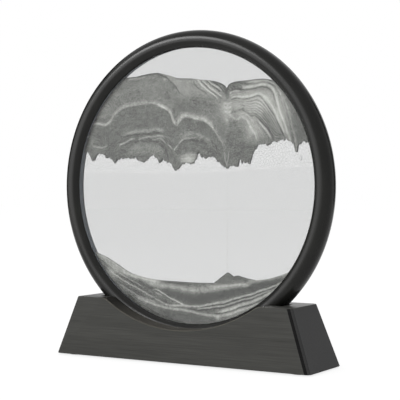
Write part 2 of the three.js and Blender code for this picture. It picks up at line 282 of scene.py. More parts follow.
# %% Speckle shared by plastic, foam, sealant and silicone
LOOK = {"Color": "Color", "Roughness": "Float", "Height": "Float"}
speckle, given = new_group("fine_speckle", "Shader", {
    "Scale": "Float", "Dark": "Color", "Light": "Color", "Smoothest": "Float", "Roughest": "Float"}, LOOK)
spot = add(speckle, "ShaderNodeTexCoord").outputs["Object"]
fine = add(speckle, "ShaderNodeTexNoise", {"Vector": spot, "Scale": given["Scale"], "Detail": 3.0})
broad = add(speckle, "ShaderNodeTexNoise", {"Vector": spot, "Scale": 55.0, "Detail": 2.0})
blend = add(speckle, "ShaderNodeMath", {0: fine, 1: broad}, operation="MULTIPLY")
shade = add(speckle, "ShaderNodeMapRange", {"Value": blend, "From Min": 0.12, "From Max": 0.4})
tint = add(speckle, "ShaderNodeMix", {0: shade, 6: given["Dark"], 7: given["Light"]}, data_type="RGBA")
rough = add(speckle, "ShaderNodeMapRange", {
    "Value": broad, "From Min": 0.3, "From Max": 0.7,
    "To Min": given["Smoothest"], "To Max": given["Roughest"]})
add(speckle, "NodeGroupOutput", {"Color": tint.outputs[2], "Roughness": rough, "Height": fine})


def group_finish(name, group, values, bump, deep, level, attribute=None):
    """A solid finish from a group's colour, roughness and height. A mesh attribute can be its tone."""
    made, tree = new_finish(name)
    if attribute:
        tone = add(tree, "ShaderNodeAttribute", attribute_name=attribute)
        values = {**values, "Tone": tone.outputs["Fac"]}
    effect = add(tree, "ShaderNodeGroup", values, node_tree=group).outputs
    bumps = add(tree, "ShaderNodeBump", {"Strength": bump, "Distance": deep, "Height": effect["Height"]})
    skin = add(tree, "ShaderNodeBsdfPrincipled", {
        "Base Color": effect["Color"], "Roughness": effect["Roughness"], "Normal": bumps,
        "Specular IOR Level": level})
    add(tree, "ShaderNodeOutputMaterial", {"Surface": skin})
    return made


def speckled(name, scale, dark, light, smoothest, roughest, bump, level=0.5):
    """A solid finish with the fine speckle in its colour, roughness and height."""
    return group_finish(name, speckle, {
        "Scale": scale, "Dark": (*dark, 1), "Light": (*light, 1), "Smoothest": smoothest,
        "Roughest": roughest}, bump, 0.2 * MM, level)


black_plastic = speckled("satin_black_plastic", 2600, (0.006, 0.006, 0.0055), (0.011, 0.011, 0.0095),
                         0.2, 0.26, 0.03, 0.2)
grey_sealant = speckled("grey_sealant", 900, (0.07, 0.08, 0.095), (0.11, 0.125, 0.14), 0.5, 0.65, 0.2)
milky_silicone = speckled("milky_silicone", 1400, (0.5, 0.51, 0.48), (0.64, 0.65, 0.61), 0.35, 0.5, 0.15)
black_foam = speckled("black_foam", 3200, (0.006, 0.006, 0.006), (0.018, 0.018, 0.018), 0.85, 0.97, 0.6)
print("materials so far:", len(bpy.data.materials))

# %% [markdown]
# ## Clear panes and liquid
# Bent light would only blur so thin a cell, so glass and liquid let the view straight through
# with a slight tint. Only the outer faces of the panes meet air, so only they mirror the room,
# more so at a glancing angle, as a Fresnel factor gives it. Seen from inside they do not mirror:
# rays that were never bent on the way in would be thrown back far too soon.

# %% Glass and liquid
def clear(name, tint, mirror=0.0):
    """A see-through finish. mirror, a refractive index, adds a polished surface's reflections."""
    made, tree = new_finish(name)
    surface = add(tree, "ShaderNodeBsdfTransparent", {"Color": (*tint, 1)})
    if mirror:
        edge = add(tree, "ShaderNodeFresnel", {"IOR": mirror})
        side = add(tree, "ShaderNodeNewGeometry")
        outside = add(tree, "ShaderNodeMath", {0: 1.0, 1: side.outputs["Backfacing"]}, operation="SUBTRACT")
        amount = add(tree, "ShaderNodeMath", {0: edge, 1: outside}, operation="MULTIPLY")
        gloss = add(tree, "ShaderNodeBsdfGlossy", {"Color": (1, 1, 1, 1), "Roughness": 0.03})
        surface = add(tree, "ShaderNodeMixShader", {0: amount, 1: surface, 2: gloss})
    add(tree, "ShaderNodeOutputMaterial", {"Surface": surface})
    return made


GLASS_TINT, GLASS_INDEX = (0.955, 0.957, 0.957), 1.45
polished_glass = clear("polished_glass", GLASS_TINT, GLASS_INDEX)
wetted_glass = clear("wetted_glass", GLASS_TINT)
film_liquid = clear("film_of_liquid", (0.958, 0.9576, 0.957))
cell_liquid = clear("cell_liquid", (0.972, 0.972, 0.973))
print("materials with the clear ones:", len(bpy.data.materials))

# %% [markdown]
# ## Turned pieces
# Ring, panes, gaskets, spacer, films, plug and pads are all round, so one Geometry Nodes tree
# turns each of them: it sweeps the piece's section round a circle. A section is a closed line of
# radius and depth. A small bevel at a section's corners is what catches the light on an edge.

# %% The tree that turns a section
turning, given = new_group("turned_piece", "Geometry", {
    "Section": "Geometry", "Steps": "Int", "Path Radius": "Float", "Tilt": "Rotation", "Middle": "Vector",
    "Finish": "Material"}, {"Piece": "Geometry"})
section_line = add(turning, "GeometryNodeMeshToCurve", {"Mesh": given["Section"]})
path = add(turning, "GeometryNodeCurvePrimitiveCircle", {
    "Resolution": given["Steps"], "Radius": given["Path Radius"]})
swept = add(turning, "GeometryNodeCurveToMesh", {"Curve": path, "Profile Curve": section_line})
welded = add(turning, "GeometryNodeMergeByDistance", {"Geometry": swept, "Distance": 1e-6})
stood = add(turning, "GeometryNodeTransform", {
    "Geometry": welded, "Translation": given["Middle"], "Rotation": given["Tilt"]})
whole = add(turning, "GeometryNodeRealizeInstances", {0: stood})
dressed = add(turning, "GeometryNodeSetMaterial", {"Geometry": whole, "Material": given["Finish"]})
add(turning, "NodeGroupOutput", {"Piece": dressed})
PATH_RADIUS = 0.1


def face_outwards(mesh, crease=32):
    """Weld a mesh, point its faces outwards, and shade it smooth up to a crease angle."""
    form = bmesh.new()
    form.from_mesh(mesh)
    bmesh.ops.remove_doubles(form, verts=form.verts, dist=1e-6)
    bmesh.ops.recalc_face_normals(form, faces=form.faces)
    form.to_mesh(mesh)
    form.free()
    mesh.shade_smooth()
    mesh.set_sharp_from_angle(angle=math.radians(crease))


def turned(name, section, finish, steps=256, tilt=(math.pi / 2, 0, 0), place=middle):
    """Turn a closed section of (radius, depth) points in millimetres into a round piece."""
    points = [(r * MM - PATH_RADIUS, depth * MM, 0) for r, depth in section]
    lines = bpy.data.meshes.new(name)
    lines.from_pydata(points, [(k, (k + 1) % len(points)) for k in range(len(points))], [])
    obj = linked(name, lines)
    face_outwards(run_nodes(obj, turning, {
        "Steps": steps, "Path Radius": PATH_RADIUS, "Tilt": tilt, "Middle": tuple(place), "Finish": finish}))
    return obj


def flat_ring(inner, outer, near, far):
    """The section of a flat ring, or of a disc if its inner radius is 0."""
    return [(inner, near), (outer, near), (outer, far), (inner, far)]


def cut_away(obj, *cutters):
    """Take solids away from a piece, one after the other."""
    for cutter in cutters:
        cut = obj.modifiers.new(cutter.name, "BOOLEAN")
        cut.object = cutter
        cut.operation = "DIFFERENCE"
    plain_mesh(obj)


def fitted(obj, body, slot, *nodes):
    """Let a piece ride on its body in place of its solids. Its slot, the record's finish, is not used."""
    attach(obj, body)
    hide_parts(*nodes)
    print(f"{obj.name}: {len(obj.data.polygons)} faces")


# %% [markdown]
# ## Ring
# The ring is moulded in two halves that meet at a fine seam. Its section is a superellipse, fuller
# than an ellipse, cut off where the lip covers the pane. The filling port is bored through the
# seam afterwards, with a boolean.

# %% Ring halves
def depths(node):
    """The depths at which a piece behind the ring's middle plane begins and ends, in millimetres."""
    low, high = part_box(node)
    return low.y / MM, high.y / MM


RING_RADIUS, POCKET_RADIUS, LIP_NOSE = 90, 87, 1.6
WINDOW_RADIUS = {-1: 79.6, 1: 81.4}
HALF_DEPTH, SEAM_GROOVE, SEAM_GAP = 6, 0.2, 0.02
PANE_INNER, PANE_OUTER = depths("rear_glass")
GASKET_INNER, GASKET_SEAT = depths("rear_gasket")
LIP_BACK = PANE_OUTER + 0.1
FULLNESS, SECTION_STEPS = 2.2, 44


def ring_half(side):
    """A ring half's section: the rounded outside, then the seam and the pocket that holds the panes."""
    nose = WINDOW_RADIUS[side] + LIP_NOSE
    waist = (1 - (LIP_BACK / HALF_DEPTH) ** FULLNESS) ** (1 / FULLNESS)
    half_width = (RING_RADIUS - WINDOW_RADIUS[side]) / (1 + waist)
    first = math.pi - math.asin((LIP_BACK / HALF_DEPTH) ** (FULLNESS / 2))
    last = math.asin((SEAM_GROOVE / 2 / HALF_DEPTH) ** (FULLNESS / 2))
    points = []
    for angle in np.linspace(first, last, SECTION_STEPS + 1):
        across = math.copysign(abs(math.cos(angle)) ** (2 / FULLNESS), math.cos(angle))
        deep = math.sin(angle) ** (2 / FULLNESS)
        points.append((RING_RADIUS - half_width + half_width * across, HALF_DEPTH * deep))
    points += [(RING_RADIUS - SEAM_GROOVE, SEAM_GAP / 2), (POCKET_RADIUS, SEAM_GAP / 2),
               (POCKET_RADIUS, GASKET_SEAT), (nose, GASKET_SEAT), (nose, LIP_BACK)]
    return [(radius, side * depth) for radius, depth in points]


PORT_TILT = (math.pi, math.radians(-68), 0)
SIDES = ((-1, "front"), (1, "rear"))
bore = turned("bore", flat_ring(0, 2.3, 86.6, 93), black_plastic, 32, PORT_TILT)
for side, word in SIDES:
    half = turned(f"{word}_ring_moulding", ring_half(side), black_plastic)
    cut_away(half, bore)
    face_outwards(half.data)
    fitted(half, "round_frame", "ring_plastic", f"{word}_ring")
    ring_pieces.objects.link(half)
    all_but_ring.objects.link(half)
    all_but_ring.collection_objects[-1].light_linking.link_state = "EXCLUDE"
bpy.data.objects.remove(bore)

# %% [markdown]
# ## Panes, gaskets, spacer, films and plug
# A pane's two faces differ: the outer one is polished glass in air, and the inner one is wetted by
# the liquid. The face's depth tells them apart.

# %% Pieces of the cell
PANE_RADIUS, PANE_BEVEL, GASKET_RADIUS, GASKET_SETBACK = 86.6, 0.25, 85.5, 0.3
FILM_INNER, FILM_OUTER = depths("rear_liquid_film")
FILL_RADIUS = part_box("rear_liquid_film")[1].x / MM
SPACER_RADIUS, SPACER_BEVEL = FILL_RADIUS + 0.25, 0.2
for side, word in SIDES:
    pane = turned(f"{word}_pane", [(radius, side * depth) for radius, depth in (
        (0, PANE_INNER), (PANE_RADIUS - PANE_BEVEL, PANE_INNER), (PANE_RADIUS, PANE_INNER + PANE_BEVEL),
        (PANE_RADIUS, PANE_OUTER - PANE_BEVEL), (PANE_RADIUS - PANE_BEVEL, PANE_OUTER), (0, PANE_OUTER))],
        polished_glass)
    pane.data.materials.append(wetted_glass)
    for face in pane.data.polygons:
        face.material_index = 0 if side * face.center.y > (PANE_OUTER - PANE_BEVEL / 2) * MM else 1
    fitted(pane, "round_frame", "pane_glass", f"{word}_glass")
    hole = WINDOW_RADIUS[side] + LIP_NOSE + GASKET_SETBACK
    gasket = turned(f"{word}_foam_gasket", flat_ring(
        hole, GASKET_RADIUS, side * GASKET_INNER, side * GASKET_SEAT), black_foam)
    fitted(gasket, "round_frame", "foam", f"{word}_gasket")
    film = turned(f"{word}_film", flat_ring(
        0, FILL_RADIUS, side * FILM_INNER, side * FILM_OUTER), film_liquid)
    fitted(film, "liquid_films", "liquid", f"{word}_liquid_film")

spacer = turned("sealant_spacer", [
    (SPACER_RADIUS, SPACER_BEVEL - PANE_INNER), (SPACER_RADIUS + SPACER_BEVEL, -PANE_INNER),
    (PANE_RADIUS, -PANE_INNER), (PANE_RADIUS, PANE_INNER), (SPACER_RADIUS + SPACER_BEVEL, PANE_INNER),
    (SPACER_RADIUS, PANE_INNER - SPACER_BEVEL)], grey_sealant)
stem_bore = turned("stem_bore", flat_ring(0, 1.2, 77, 90), grey_sealant, 32, PORT_TILT)
cut_away(spacer, stem_bore)
face_outwards(spacer.data)
bpy.data.objects.remove(stem_bore)
fitted(spacer, "round_frame", "sealant", "cell_spacer")

plug = turned("silicone_plug", [
    (0, 80.8), (0.7, 80.8), (0.9, 81), (0.9, 86.9), (1.8, 86.9), (2, 87.1), (2, 89.2), (1.9, 89.4),
    (1.6, 89.5), (0.7, 89.5), (0.5, 89.3), (0, 89.2)], milky_silicone, 48, PORT_TILT)
fitted(plug, "round_frame", "silicone", "fill_plug")

# %% [markdown]
# ## Lines of the sand
# The sand has settled into layers: a grey crest, a pale seam, arches of bank under it and a striped
# fan right of the funnel, and below, concave drifts over a pale bed. Each border is a smooth line
# through a few points, in millimetres from the ring's middle, and the foot that lies on the bubbles
# is scalloped by them.

# %% Borders between the layers
def line_through(points, smooth=True):
    """A line through points given from left to right, level beyond its ends."""
    px, pz = np.array(points, float).T
    if not smooth:
        return lambda x: np.interp(x, px, pz)
    slope = np.gradient(pz, px)

    def height(x):
        x = np.clip(x, px[0], px[-1])
        k = np.clip(np.searchsorted(px, x) - 1, 0, len(px) - 2)
        wide = px[k + 1] - px[k]
        t = (x - px[k]) / wide
        return ((2 * t**3 - 3 * t**2 + 1) * pz[k] + (t**3 - 2 * t**2 + t) * wide * slope[k]
                + (3 * t**2 - 2 * t**3) * pz[k + 1] + (t**3 - t**2) * wide * slope[k + 1])

    return height


thread_low, thread_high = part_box("falling_sand")
FUNNEL = (thread_low.x + thread_high.x) / 2 / MM
upper_top = line_through([
    (-62, 64), (-44.5, 65), (-38, 65.3), (-33, 66), (-27.5, 66.6), (-23.5, 66.6), (-20, 65.8),
    (-14.5, 64.3), (-10.5, 63), (-5.5, 62.5), (1, 62), (6, 61.2), (14.5, 60), (19, 58.5), (21.5, 57),
    (23.2, 55.3), (24.7, 57.2), (27.5, 58.5), (30.5, 59), (37, 59.2), (42, 59.6), (47, 59.6), (53, 58.6),
    (62, 57)])
seam = line_through([
    (-74, 38), (-62, 37), (-60, 37.5), (-56.5, 39.5), (-55, 43), (-52.5, 45), (-48.5, 47), (-44.5, 48.3),
    (-38, 49), (-30, 49.3), (-26, 49), (-21.5, 47.5), (-16, 44.5), (-14.5, 42.5), (-13, 39), (-11.5, 36.5),
    (-10, 35.5), (-8.5, 37.5), (-6, 39.5), (-4, 40.2), (-1, 40), (3.5, 39), (8, 37.5), (11, 35.5),
    (14, 33.5), (16, 31), (18, 27.5), (20.5, 24.5), (21.5, 20.5), (FUNNEL, 12.5)])
smooth_foot = line_through([
    (-79, 20.5), (-75, 21), (-73, 18), (-70.5, 16), (-69, 18.5), (-67.5, 20.5), (-64.5, 19.5), (-61.5, 18),
    (-58, 16.5), (-54.5, 15), (-51.5, 16), (-48.5, 17), (-42, 17.5), (-39.5, 17), (-37.5, 15), (-35, 14.5),
    (-32, 15.5), (-30, 17.5), (-28.5, 18.5), (-26, 18), (-24.5, 16), (-22, 14), (-20, 14.8), (-17, 14.5),
    (-14, 13), (-13, 11), (-10, 10), (-8.5, 11.5), (-7, 13.2), (-5.5, 13.6), (1, 13.6), (2.6, 15),
    (3.6, 18.3), (7, 17), (9, 16), (11.5, 16), (13.5, 17), (15, 17), (17, 15), (19.5, 13), (20.7, 11),
    (22, 11), (23.7, 9.5), (25, 10.8), (28, 12), (30, 11.5), (30.8, 13.5), (32, 14.5), (33, 13.6),
    (34.5, 14), (36.5, 12.5), (37.5, 12), (38.3, 14), (40, 17.5), (41.5, 20), (43.5, 22.5), (46, 23.5),
    (51, 23.5), (52, 24.5), (55, 25), (59, 25.5), (60.5, 26), (62, 25), (63.5, 23.5), (65.5, 23.3),
    (66.5, 21), (68, 19.5), (69, 22.5), (70.5, 23.5), (75.5, 23.5), (79, 23)])
raft_foot = line_through([(-78, 8.8), (-50, 8), (6, 7.5), (46, 9.2), (78, 10.6)])
lower_top = line_through([
    (-72, -39), (-67.5, -41), (-63, -42.5), (-54.5, -46.5), (-45.5, -51.3), (-34, -54.4), (-23, -55.5),
    (-12, -55.8), (0, -56), (15.5, -55.6), (28, -54.8), (41, -53.2), (50, -51.8), (58, -49.5),
    (63.5, -47.5), (68, -46)])
drift_foot = line_through([
    (-58, -52), (-52, -54.5), (-38.5, -62.5), (-32, -67), (-23, -69.5), (-12, -70.5), (-1.5, -70),
    (11.5, -68.8), (20, -65.7), (30, -62.5), (40, -59), (50, -55.5), (60, -51.5), (68, -48.5)])
cone_top = line_through([
    (12.2, -57.5), (14.6, -55.6), (19, -52.5), (23.4, -49.3), (25.4, -50.5), (27.2, -51.7), (28.3, -51.3),
    (29.6, -50.8), (32, -51.4), (36, -52.3), (41, -53), (46, -57)], False)
print("sand is", round(float(upper_top(0.0) - smooth_foot(0.0)), 1), "mm thick above the raft")

# %% Ragged foot of the upper sand
LATTICE = 64
lattice = np.random.default_rng(4).normal(size=(LATTICE, LATTICE))
ARC_SPACING, ARC_RISE, FOOT_DROP = 2.1, 0.9, 0.45


def mottle(a, b):
    """Smooth random values that change over about one unit of each place."""
    i, j = np.floor(a).astype(int), np.floor(b).astype(int)
    s, t = (3 * f**2 - 2 * f**3 for f in (a - i, b - j))

    def row(k):
        return lattice[k % LATTICE, j % LATTICE] * (1 - t) + lattice[k % LATTICE, (j + 1) % LATTICE] * t

    return row(i) * (1 - s) + row(i + 1) * s


def upper_foot(x):
    """The foot of the upper sand: small arcs pressed up by bubbles, with ragged cusps between them."""
    place = x / ARC_SPACING + 0.5 * np.sin(0.43 * x) + 0.3 * np.sin(1.07 * x + 1)
    arcs = ARC_RISE * (1 - (2 * (place - np.floor(place)) - 1) ** 2) * (0.6 + 0.4 * np.sin(0.61 * x + 2))
    ragged = 0.75 * mottle(x / 0.95, 0 * x + 5.5) + 0.5 * mottle(x / 0.5, 0 * x + 9.5)
    return smooth_foot(x) - FOOT_DROP + arcs + ragged


print("foot at the funnel:", round(float(upper_foot(np.array([FUNNEL]))[0]), 1), "mm")

# %% [markdown]
# ## Tones of the sand
# Grains of different weight part as they fall, which draws pale and dark bands along the layers.
# Each band is a line with a width and a strength, and each patch a soft spot. Faint beds that run
# with the layer's upper border, and a mottle, lie under them. The sum is stored on the mesh as an
# attribute, which the material turns into colour, so the bands follow the layers.

# %% Bands, patches, veils and shelves
def band(points, width, strength, fade=2.0, above=1.0):
    """A tone that is strongest on a line and dies away beside it, more slowly above if above is over 1."""
    line = line_through(points)
    left, right = points[0][0], points[-1][0]
    phase = 3 * points[0][1] + 17 * width

    def tone(x, z):
        rise = (line(x + 0.2) - line(x - 0.2)) / 0.4
        waver = 0.06 * np.sin(1.9 * x + phase) + 0.04 * np.sin(4.3 * x + 2 * phase)
        away = (z - line(x) - waver) / np.sqrt(1 + rise**2)
        ends = np.clip((x - left) / fade, 0, 1) * np.clip((right - x) / fade, 0, 1)
        swell = 0.8 + 0.2 * np.sin(0.7 * x + phase) * np.sin(1.6 * x - phase)
        return strength * ends * swell * np.exp(-((away / np.where(away > 0, width * above, width)) ** 2))

    return tone


def patch(x0, z0, wide, tall, strength):
    """A soft spot of tone."""
    return lambda x, z: strength * np.exp(-(((x - x0) / wide) ** 2) - ((z - z0) / tall) ** 2)


def veil(left, right, width, strength):
    """A pale tone along the top of the lower sand, where only a thin film of grains is left."""
    x = np.arange(left, right + 1, 3.0)
    return band(list(zip(x, lower_top(x))), width, strength, 6)


def shelf(points, foot, right, strength):
    """A tone right of a steep line, given upwards, that dies away towards its foot and the right."""
    edge = line_through([(z, x) for x, z in points])

    def tone(x, z):
        inside = 1 / (1 + np.exp(-(x - edge(z)) / 0.35))
        return strength * inside / (1 + np.exp(-(z - foot) / 0.9)) / (1 + np.exp((x - right) / 2.5))

    return tone


# %% Seam, bank and crest
seam_tones = [
    band([(-74, 38), (-65, 37.6), (-62, 37), (-60, 37.8), (-57.5, 39.8), (-55.5, 43)], 0.75, 0.52),
    band([(-57, 40.5), (-55, 43), (-52.5, 45), (-48.5, 47), (-44.5, 48.3), (-38, 49), (-30, 49.3),
          (-26, 49), (-21.5, 47.5), (-16, 44.5)], 0.85, 0.34, 3, 1.4),
    band([(-24, 48.5), (-19, 46), (-16, 44.5), (-14.5, 42.5), (-13, 39), (-11.5, 36.8), (-10, 35.8)], 0.7,
          0.52, 1.5, 1.4),
    band([(-10.4, 35.6), (-8.5, 37.6), (-6.5, 39.6), (-4, 40.6), (-1, 40.3), (2, 39.2), (5, 38.8), (8, 38),
          (10.5, 36.6), (13, 34.5), (15, 32)], 0.8, 0.55, 1, 2.2),
    band([(12, 35), (14, 33.5), (16, 31), (18, 27.5), (20.5, 24.5), (22, 20.5)], 0.5, 0.31, 2),
    patch(-4, 37.6, 2.4, 1.3, -0.07),
    band([(1.5, 36.4), (8, 35.4), (12.5, 32.5)], 1.0, -0.07),
]
bank_tones = [
    band([(-50, 30.6), (-45, 31.6), (-40, 32.2), (-35, 32.8), (-30, 33), (-25, 33.2), (-20, 32.4),
          (-17, 31)], 0.9, 0.3, 4, 1.2),
    band([(-48, 29.6), (-40, 30.4), (-34, 30.8), (-28, 31), (-22, 30.9), (-18, 30)], 0.4, -0.2, 3),
    band([(-52, 24.6), (-47, 26.3), (-44, 27.4), (-39.5, 28.2)], 0.45, 0.53, 1.5),
    band([(-38, 27.5), (-34, 28.5), (-31, 29.3), (-27, 29.1), (-25, 29.2), (-22.5, 29.6), (-18.5, 28.2)],
          0.45, 0.4, 1.5),
    band([(-28, 27.4), (-25.5, 27.3), (-23, 28), (-20, 26.6), (-17.6, 24.6)], 0.35, 0.35, 1),
    band([(-51, 23.6), (-43, 25.9), (-36, 26.4), (-28, 26.6), (-22, 25.4)], 0.5, -0.18, 3),
    band([(-46, 19.5), (-40, 22.6), (-34, 23.4), (-28, 23.1), (-22, 21), (-18, 17)], 2.0, 0.15, 3),
    band([(-41, 18.6), (-35, 20), (-29, 20), (-24, 18)], 0.5, 0.15, 2),
    band([(-22.5, 24.6), (-19.5, 22.4), (-17.5, 20), (-15.6, 15)], 0.5, -0.2, 1),
    band([(-72, 25), (-67.5, 23.8), (-65, 23.5), (-59, 24.3)], 0.5, 0.38),
    patch(-72, 27, 4, 3, 0.08), patch(-70, 21, 5, 2, 0.06),
    band([(-9.5, 24.4), (-7, 26.4), (-5, 27.2), (-0.5, 27.6), (4, 27.6)], 0.45, 0.38, 1),
    band([(-8, 27.4), (-4, 29.4), (0, 30.4), (5, 29.3), (10, 27.4), (14, 24.6)], 1.4, 0.2, 3),
    band([(-9.5, 21), (-7, 24.6), (-3.5, 26), (1, 26.2), (6, 25.4), (11, 23.6)], 0.7, -0.15, 2),
    band([(-17, 24.8), (-13, 21.2)], 0.35, 0.5, 0.6), band([(-12.6, 20.4), (-9.6, 24)], 0.35, 0.56, 0.6),
    band([(21.3, 18.5), (22.5, 14.5), (23.6, 11.5)], 0.3, 0.44, 0.4),
    band([(23.7, 11.5), (24.3, 15.5), (25.1, 19.4)], 0.3, 0.5, 0.3),
    band([(-7.5, 17.6), (-3, 18.2), (4.5, 17.6)], 0.5, 0.24, 1),
    band([(-8, 15.9), (-2, 16.2), (3.4, 16)], 0.5, 0.24, 1),
    band([(-8, 14.3), (-3, 14.4), (2.6, 14.6)], 0.6, 0.3, 1),
    patch(-2.3, 16, 4.8, 2.4, 0.46), patch(-55, 19.5, 8, 3, -0.05), patch(12, 19, 5, 2.5, -0.03),
]
crest_tones = [
    band([(-46, 63.6), (-38, 63.8), (-31, 65)], 0.35, 0.28),
    band([(-38, 65), (-28, 66.2), (-24, 66.2), (-21.5, 65.3), (-18, 63.8), (-15, 61.8), (-12.5, 59.4),
          (-10, 56.8), (-8.6, 54.6), (-5, 52.7)], 0.45, -0.3),
    shelf([(-8.6, 50), (-9, 55), (-10, 56.8), (-12.5, 59.4), (-15, 61.8), (-18, 63.8), (-21, 65.5)], 52.5,
           16.25, 0.17),
    band([(-11, 62.9), (-5.5, 62.2), (2, 61.7)], 0.3, -0.38, 1),
    band([(1.2, 62), (1.7, 59.5), (3, 57.5), (6, 55.5), (11, 52.2)], 0.35, -0.35, 0.4),
    band([(3.6, 61.6), (5.5, 59.5), (8, 57), (11.5, 54.5), (14.5, 52.5), (18, 50)], 0.4, 0.58, 0.6),
    band([(6, 60.6), (9.5, 57.5), (12.5, 55), (17, 51.9)], 0.3, -0.43, 0.6),
    band([(7.2, 60.8), (10.5, 57.9), (14, 55.4), (17, 53.3), (20.5, 51)], 0.35, 0.6, 0.6),
    band([(9.6, 60.5), (12.5, 58.5), (16, 56), (19.5, 53.7)], 0.3, -0.43, 0.6),
    band([(11, 60.5), (15, 57.8), (18, 56), (20.5, 54)], 0.32, 0.53, 0.6),
    band([(12.3, 60.5), (17, 58), (19.5, 56.2), (21.6, 53.5)], 0.3, -0.47, 0.6),
    band([(14, 60.2), (19, 58.4), (21.5, 56.7), (22.8, 54.5)], 0.4, -0.56, 0.6),
    patch(-18.5, 62, 1.4, 1.1, 0.2), patch(12, 54.5, 6, 4, 0.1), patch(3, 46, 13, 4.5, -0.06),
    patch(-54, 55.5, 1.5, 2.6, 0.1), patch(-64, 46, 6, 6, 0.05), patch(-30, 57, 14, 5, 0.03),
    patch(19, 47, 3, 6, 0.06), patch(23.2, 52.5, 1.7, 3.2, -0.22),
]
print("bands and patches left of the funnel:", len(seam_tones + bank_tones + crest_tones))

# %% Stripes of the fan
UPPER_STRIPE = [
    (26, 48.6), (31, 49.2), (33, 48.7), (36, 48.7), (40, 49.6), (43, 50), (45, 49.7), (46.5, 48.5),
    (48, 46.6), (50, 44), (52, 41.4), (54, 38.3), (56, 34.6), (58, 31), (60.4, 26.6)]
LOWER_STRIPE = [
    (26, 41.6), (30, 41.9), (33.5, 42.4), (36, 41.4), (39.4, 39.3), (42, 39.4), (44.4, 37.3), (47, 34.8),
    (49.8, 31.8), (52, 28.2), (54, 25)]
upper_stripe, lower_stripe = line_through(UPPER_STRIPE), line_through(LOWER_STRIPE)


def between_stripes(share, width, strength):
    """A band that runs a share of the way from the upper to the lower stripe."""
    x = np.arange(26, 59.5, 1.5)
    return band(list(zip(x, upper_stripe(x) * (1 - share) + lower_stripe(x) * share)), width, strength, 1.5)


fan_tones = [
    band([(23.8, 55), (25, 57), (27.5, 58.2), (30.5, 58.5), (34, 57.9), (37, 57.2), (41.5, 56.8),
          (44.5, 57.1), (50, 57), (55, 55)], 0.55, -0.31, 1.5),
    band([(36, 59.2), (42, 59.5), (47, 59.5), (54, 58.4)], 0.3, -0.36),
    band([(36, 58.2), (42, 58.2), (47, 58.4), (52, 57.6), (56, 54), (60, 47)], 0.5, 0.36),
    band([(33, 55.6), (40.5, 55.7), (43.5, 56), (47, 56.3), (49.5, 56.1), (51.5, 55.2), (53, 53.8),
          (54.3, 51.5), (55.2, 49), (56.3, 44), (58, 38.8), (59.8, 34.5), (61.4, 30.4), (63.2, 26.5),
          (65, 22.5)], 1.0, 0.6, 1.5),
    band([(26, 54.2), (30, 54.4), (35, 54.2), (40, 54.4), (45, 54.9), (48, 54.8), (50.5, 53.9), (52, 52.6),
          (53.5, 50.5), (54.5, 47.5), (55.6, 44), (57, 40), (59, 35.2), (60.6, 31.2), (62.4, 27)], 0.5,
          -0.41, 1.5),
    band([(25, 51.8), (27, 53), (29, 53.5), (32.4, 53.4)], 0.35, 0.6, 1),
    band([(25.5, 50.6), (29, 51.8), (33, 52)], 0.3, 0.31, 1),
    band([(26, 49.8), (31, 50.3), (36, 50.1), (40, 50.9), (43, 51.4), (46, 50.8), (48.5, 48.8), (51, 46),
          (53, 43.2), (55, 39.4), (57, 35.4), (59, 31.4), (61, 27.4)], 0.6, 0.41, 1.5),
    band(UPPER_STRIPE, 0.34, -0.6, 1), band(LOWER_STRIPE, 0.38, -0.5, 1),
    *(between_stripes(share, 0.28, -0.5) for share in (0.19, 0.35, 0.49, 0.62, 0.75, 0.88)),
    *(between_stripes(share, 0.3, 0.16) for share in (0.1, 0.27, 0.42, 0.55, 0.69, 0.82)),
    band([(43.5, 36.2), (46, 34), (49.3, 30.4), (52.4, 26.4)], 0.42, 0.53, 1),
    band([(42, 36.6), (44.5, 34), (47.5, 30.5), (50.5, 26)], 0.5, -0.17, 1.5),
    band([(24.8, 41), (27, 39.3), (29, 37.8), (30.5, 37.4), (33, 38.6), (35, 38), (37, 36), (38.5, 33.5),
          (40, 31.2), (41.5, 29), (43.5, 25)], 0.6, 0.38, 1),
    band([(30.5, 39.6), (33, 40.4), (36, 40), (38.5, 38.3), (41, 35.5)], 0.35, 0.24, 1),
    *(band([(21.6, high + 0.6), (24, high - 0.4), (27, high + 0.2)], 0.3, strength, 0.6)
      for high, strength in (
        (48.2, -0.26), (47, 0.2), (45.8, -0.26), (44.6, 0.2), (43.4, -0.24), (42.2, 0.2), (41, -0.2))),
    band([(57, 52.5), (59, 48), (60.5, 43), (62, 37.5), (63.5, 32.5), (65.5, 25)], 0.45, 0.24, 0.6),
    band([(58, 51), (60, 45.5), (61.5, 40), (63, 35), (64.3, 29.5), (66, 23.5)], 0.35, -0.24, 0.6),
    band([(59, 51), (61.5, 44.5), (63.5, 39), (65, 33), (66.5, 27.5), (68, 20)], 0.6, 0.22, 0.6),
    patch(40, 45.5, 14, 8, 0.47), patch(49.5, 48, 4, 4.5, 0.24), patch(23.5, 43, 3, 5.5, 0.36),
    patch(39.5, 31, 4.6, 5.5, 0.36), patch(46, 30.5, 5, 5, 0.18), patch(57, 38, 5.5, 12, 0.34),
    patch(29.5, 55.8, 4.5, 1.8, -0.06), patch(31, 21, 8, 8, -0.05), patch(23.7, 37.4, 0.9, 0.9, 0.3),
    patch(45, 57.5, 9, 2, 0.16), patch(40, 52.2, 11, 2, 0.12), patch(29.5, 45, 4.5, 3.6, 0.22),
    patch(44, 42, 9, 6, 0.06), patch(70, 30, 3, 3.5, -0.04),
]
print("bands and patches of the fan:", len(fan_tones))

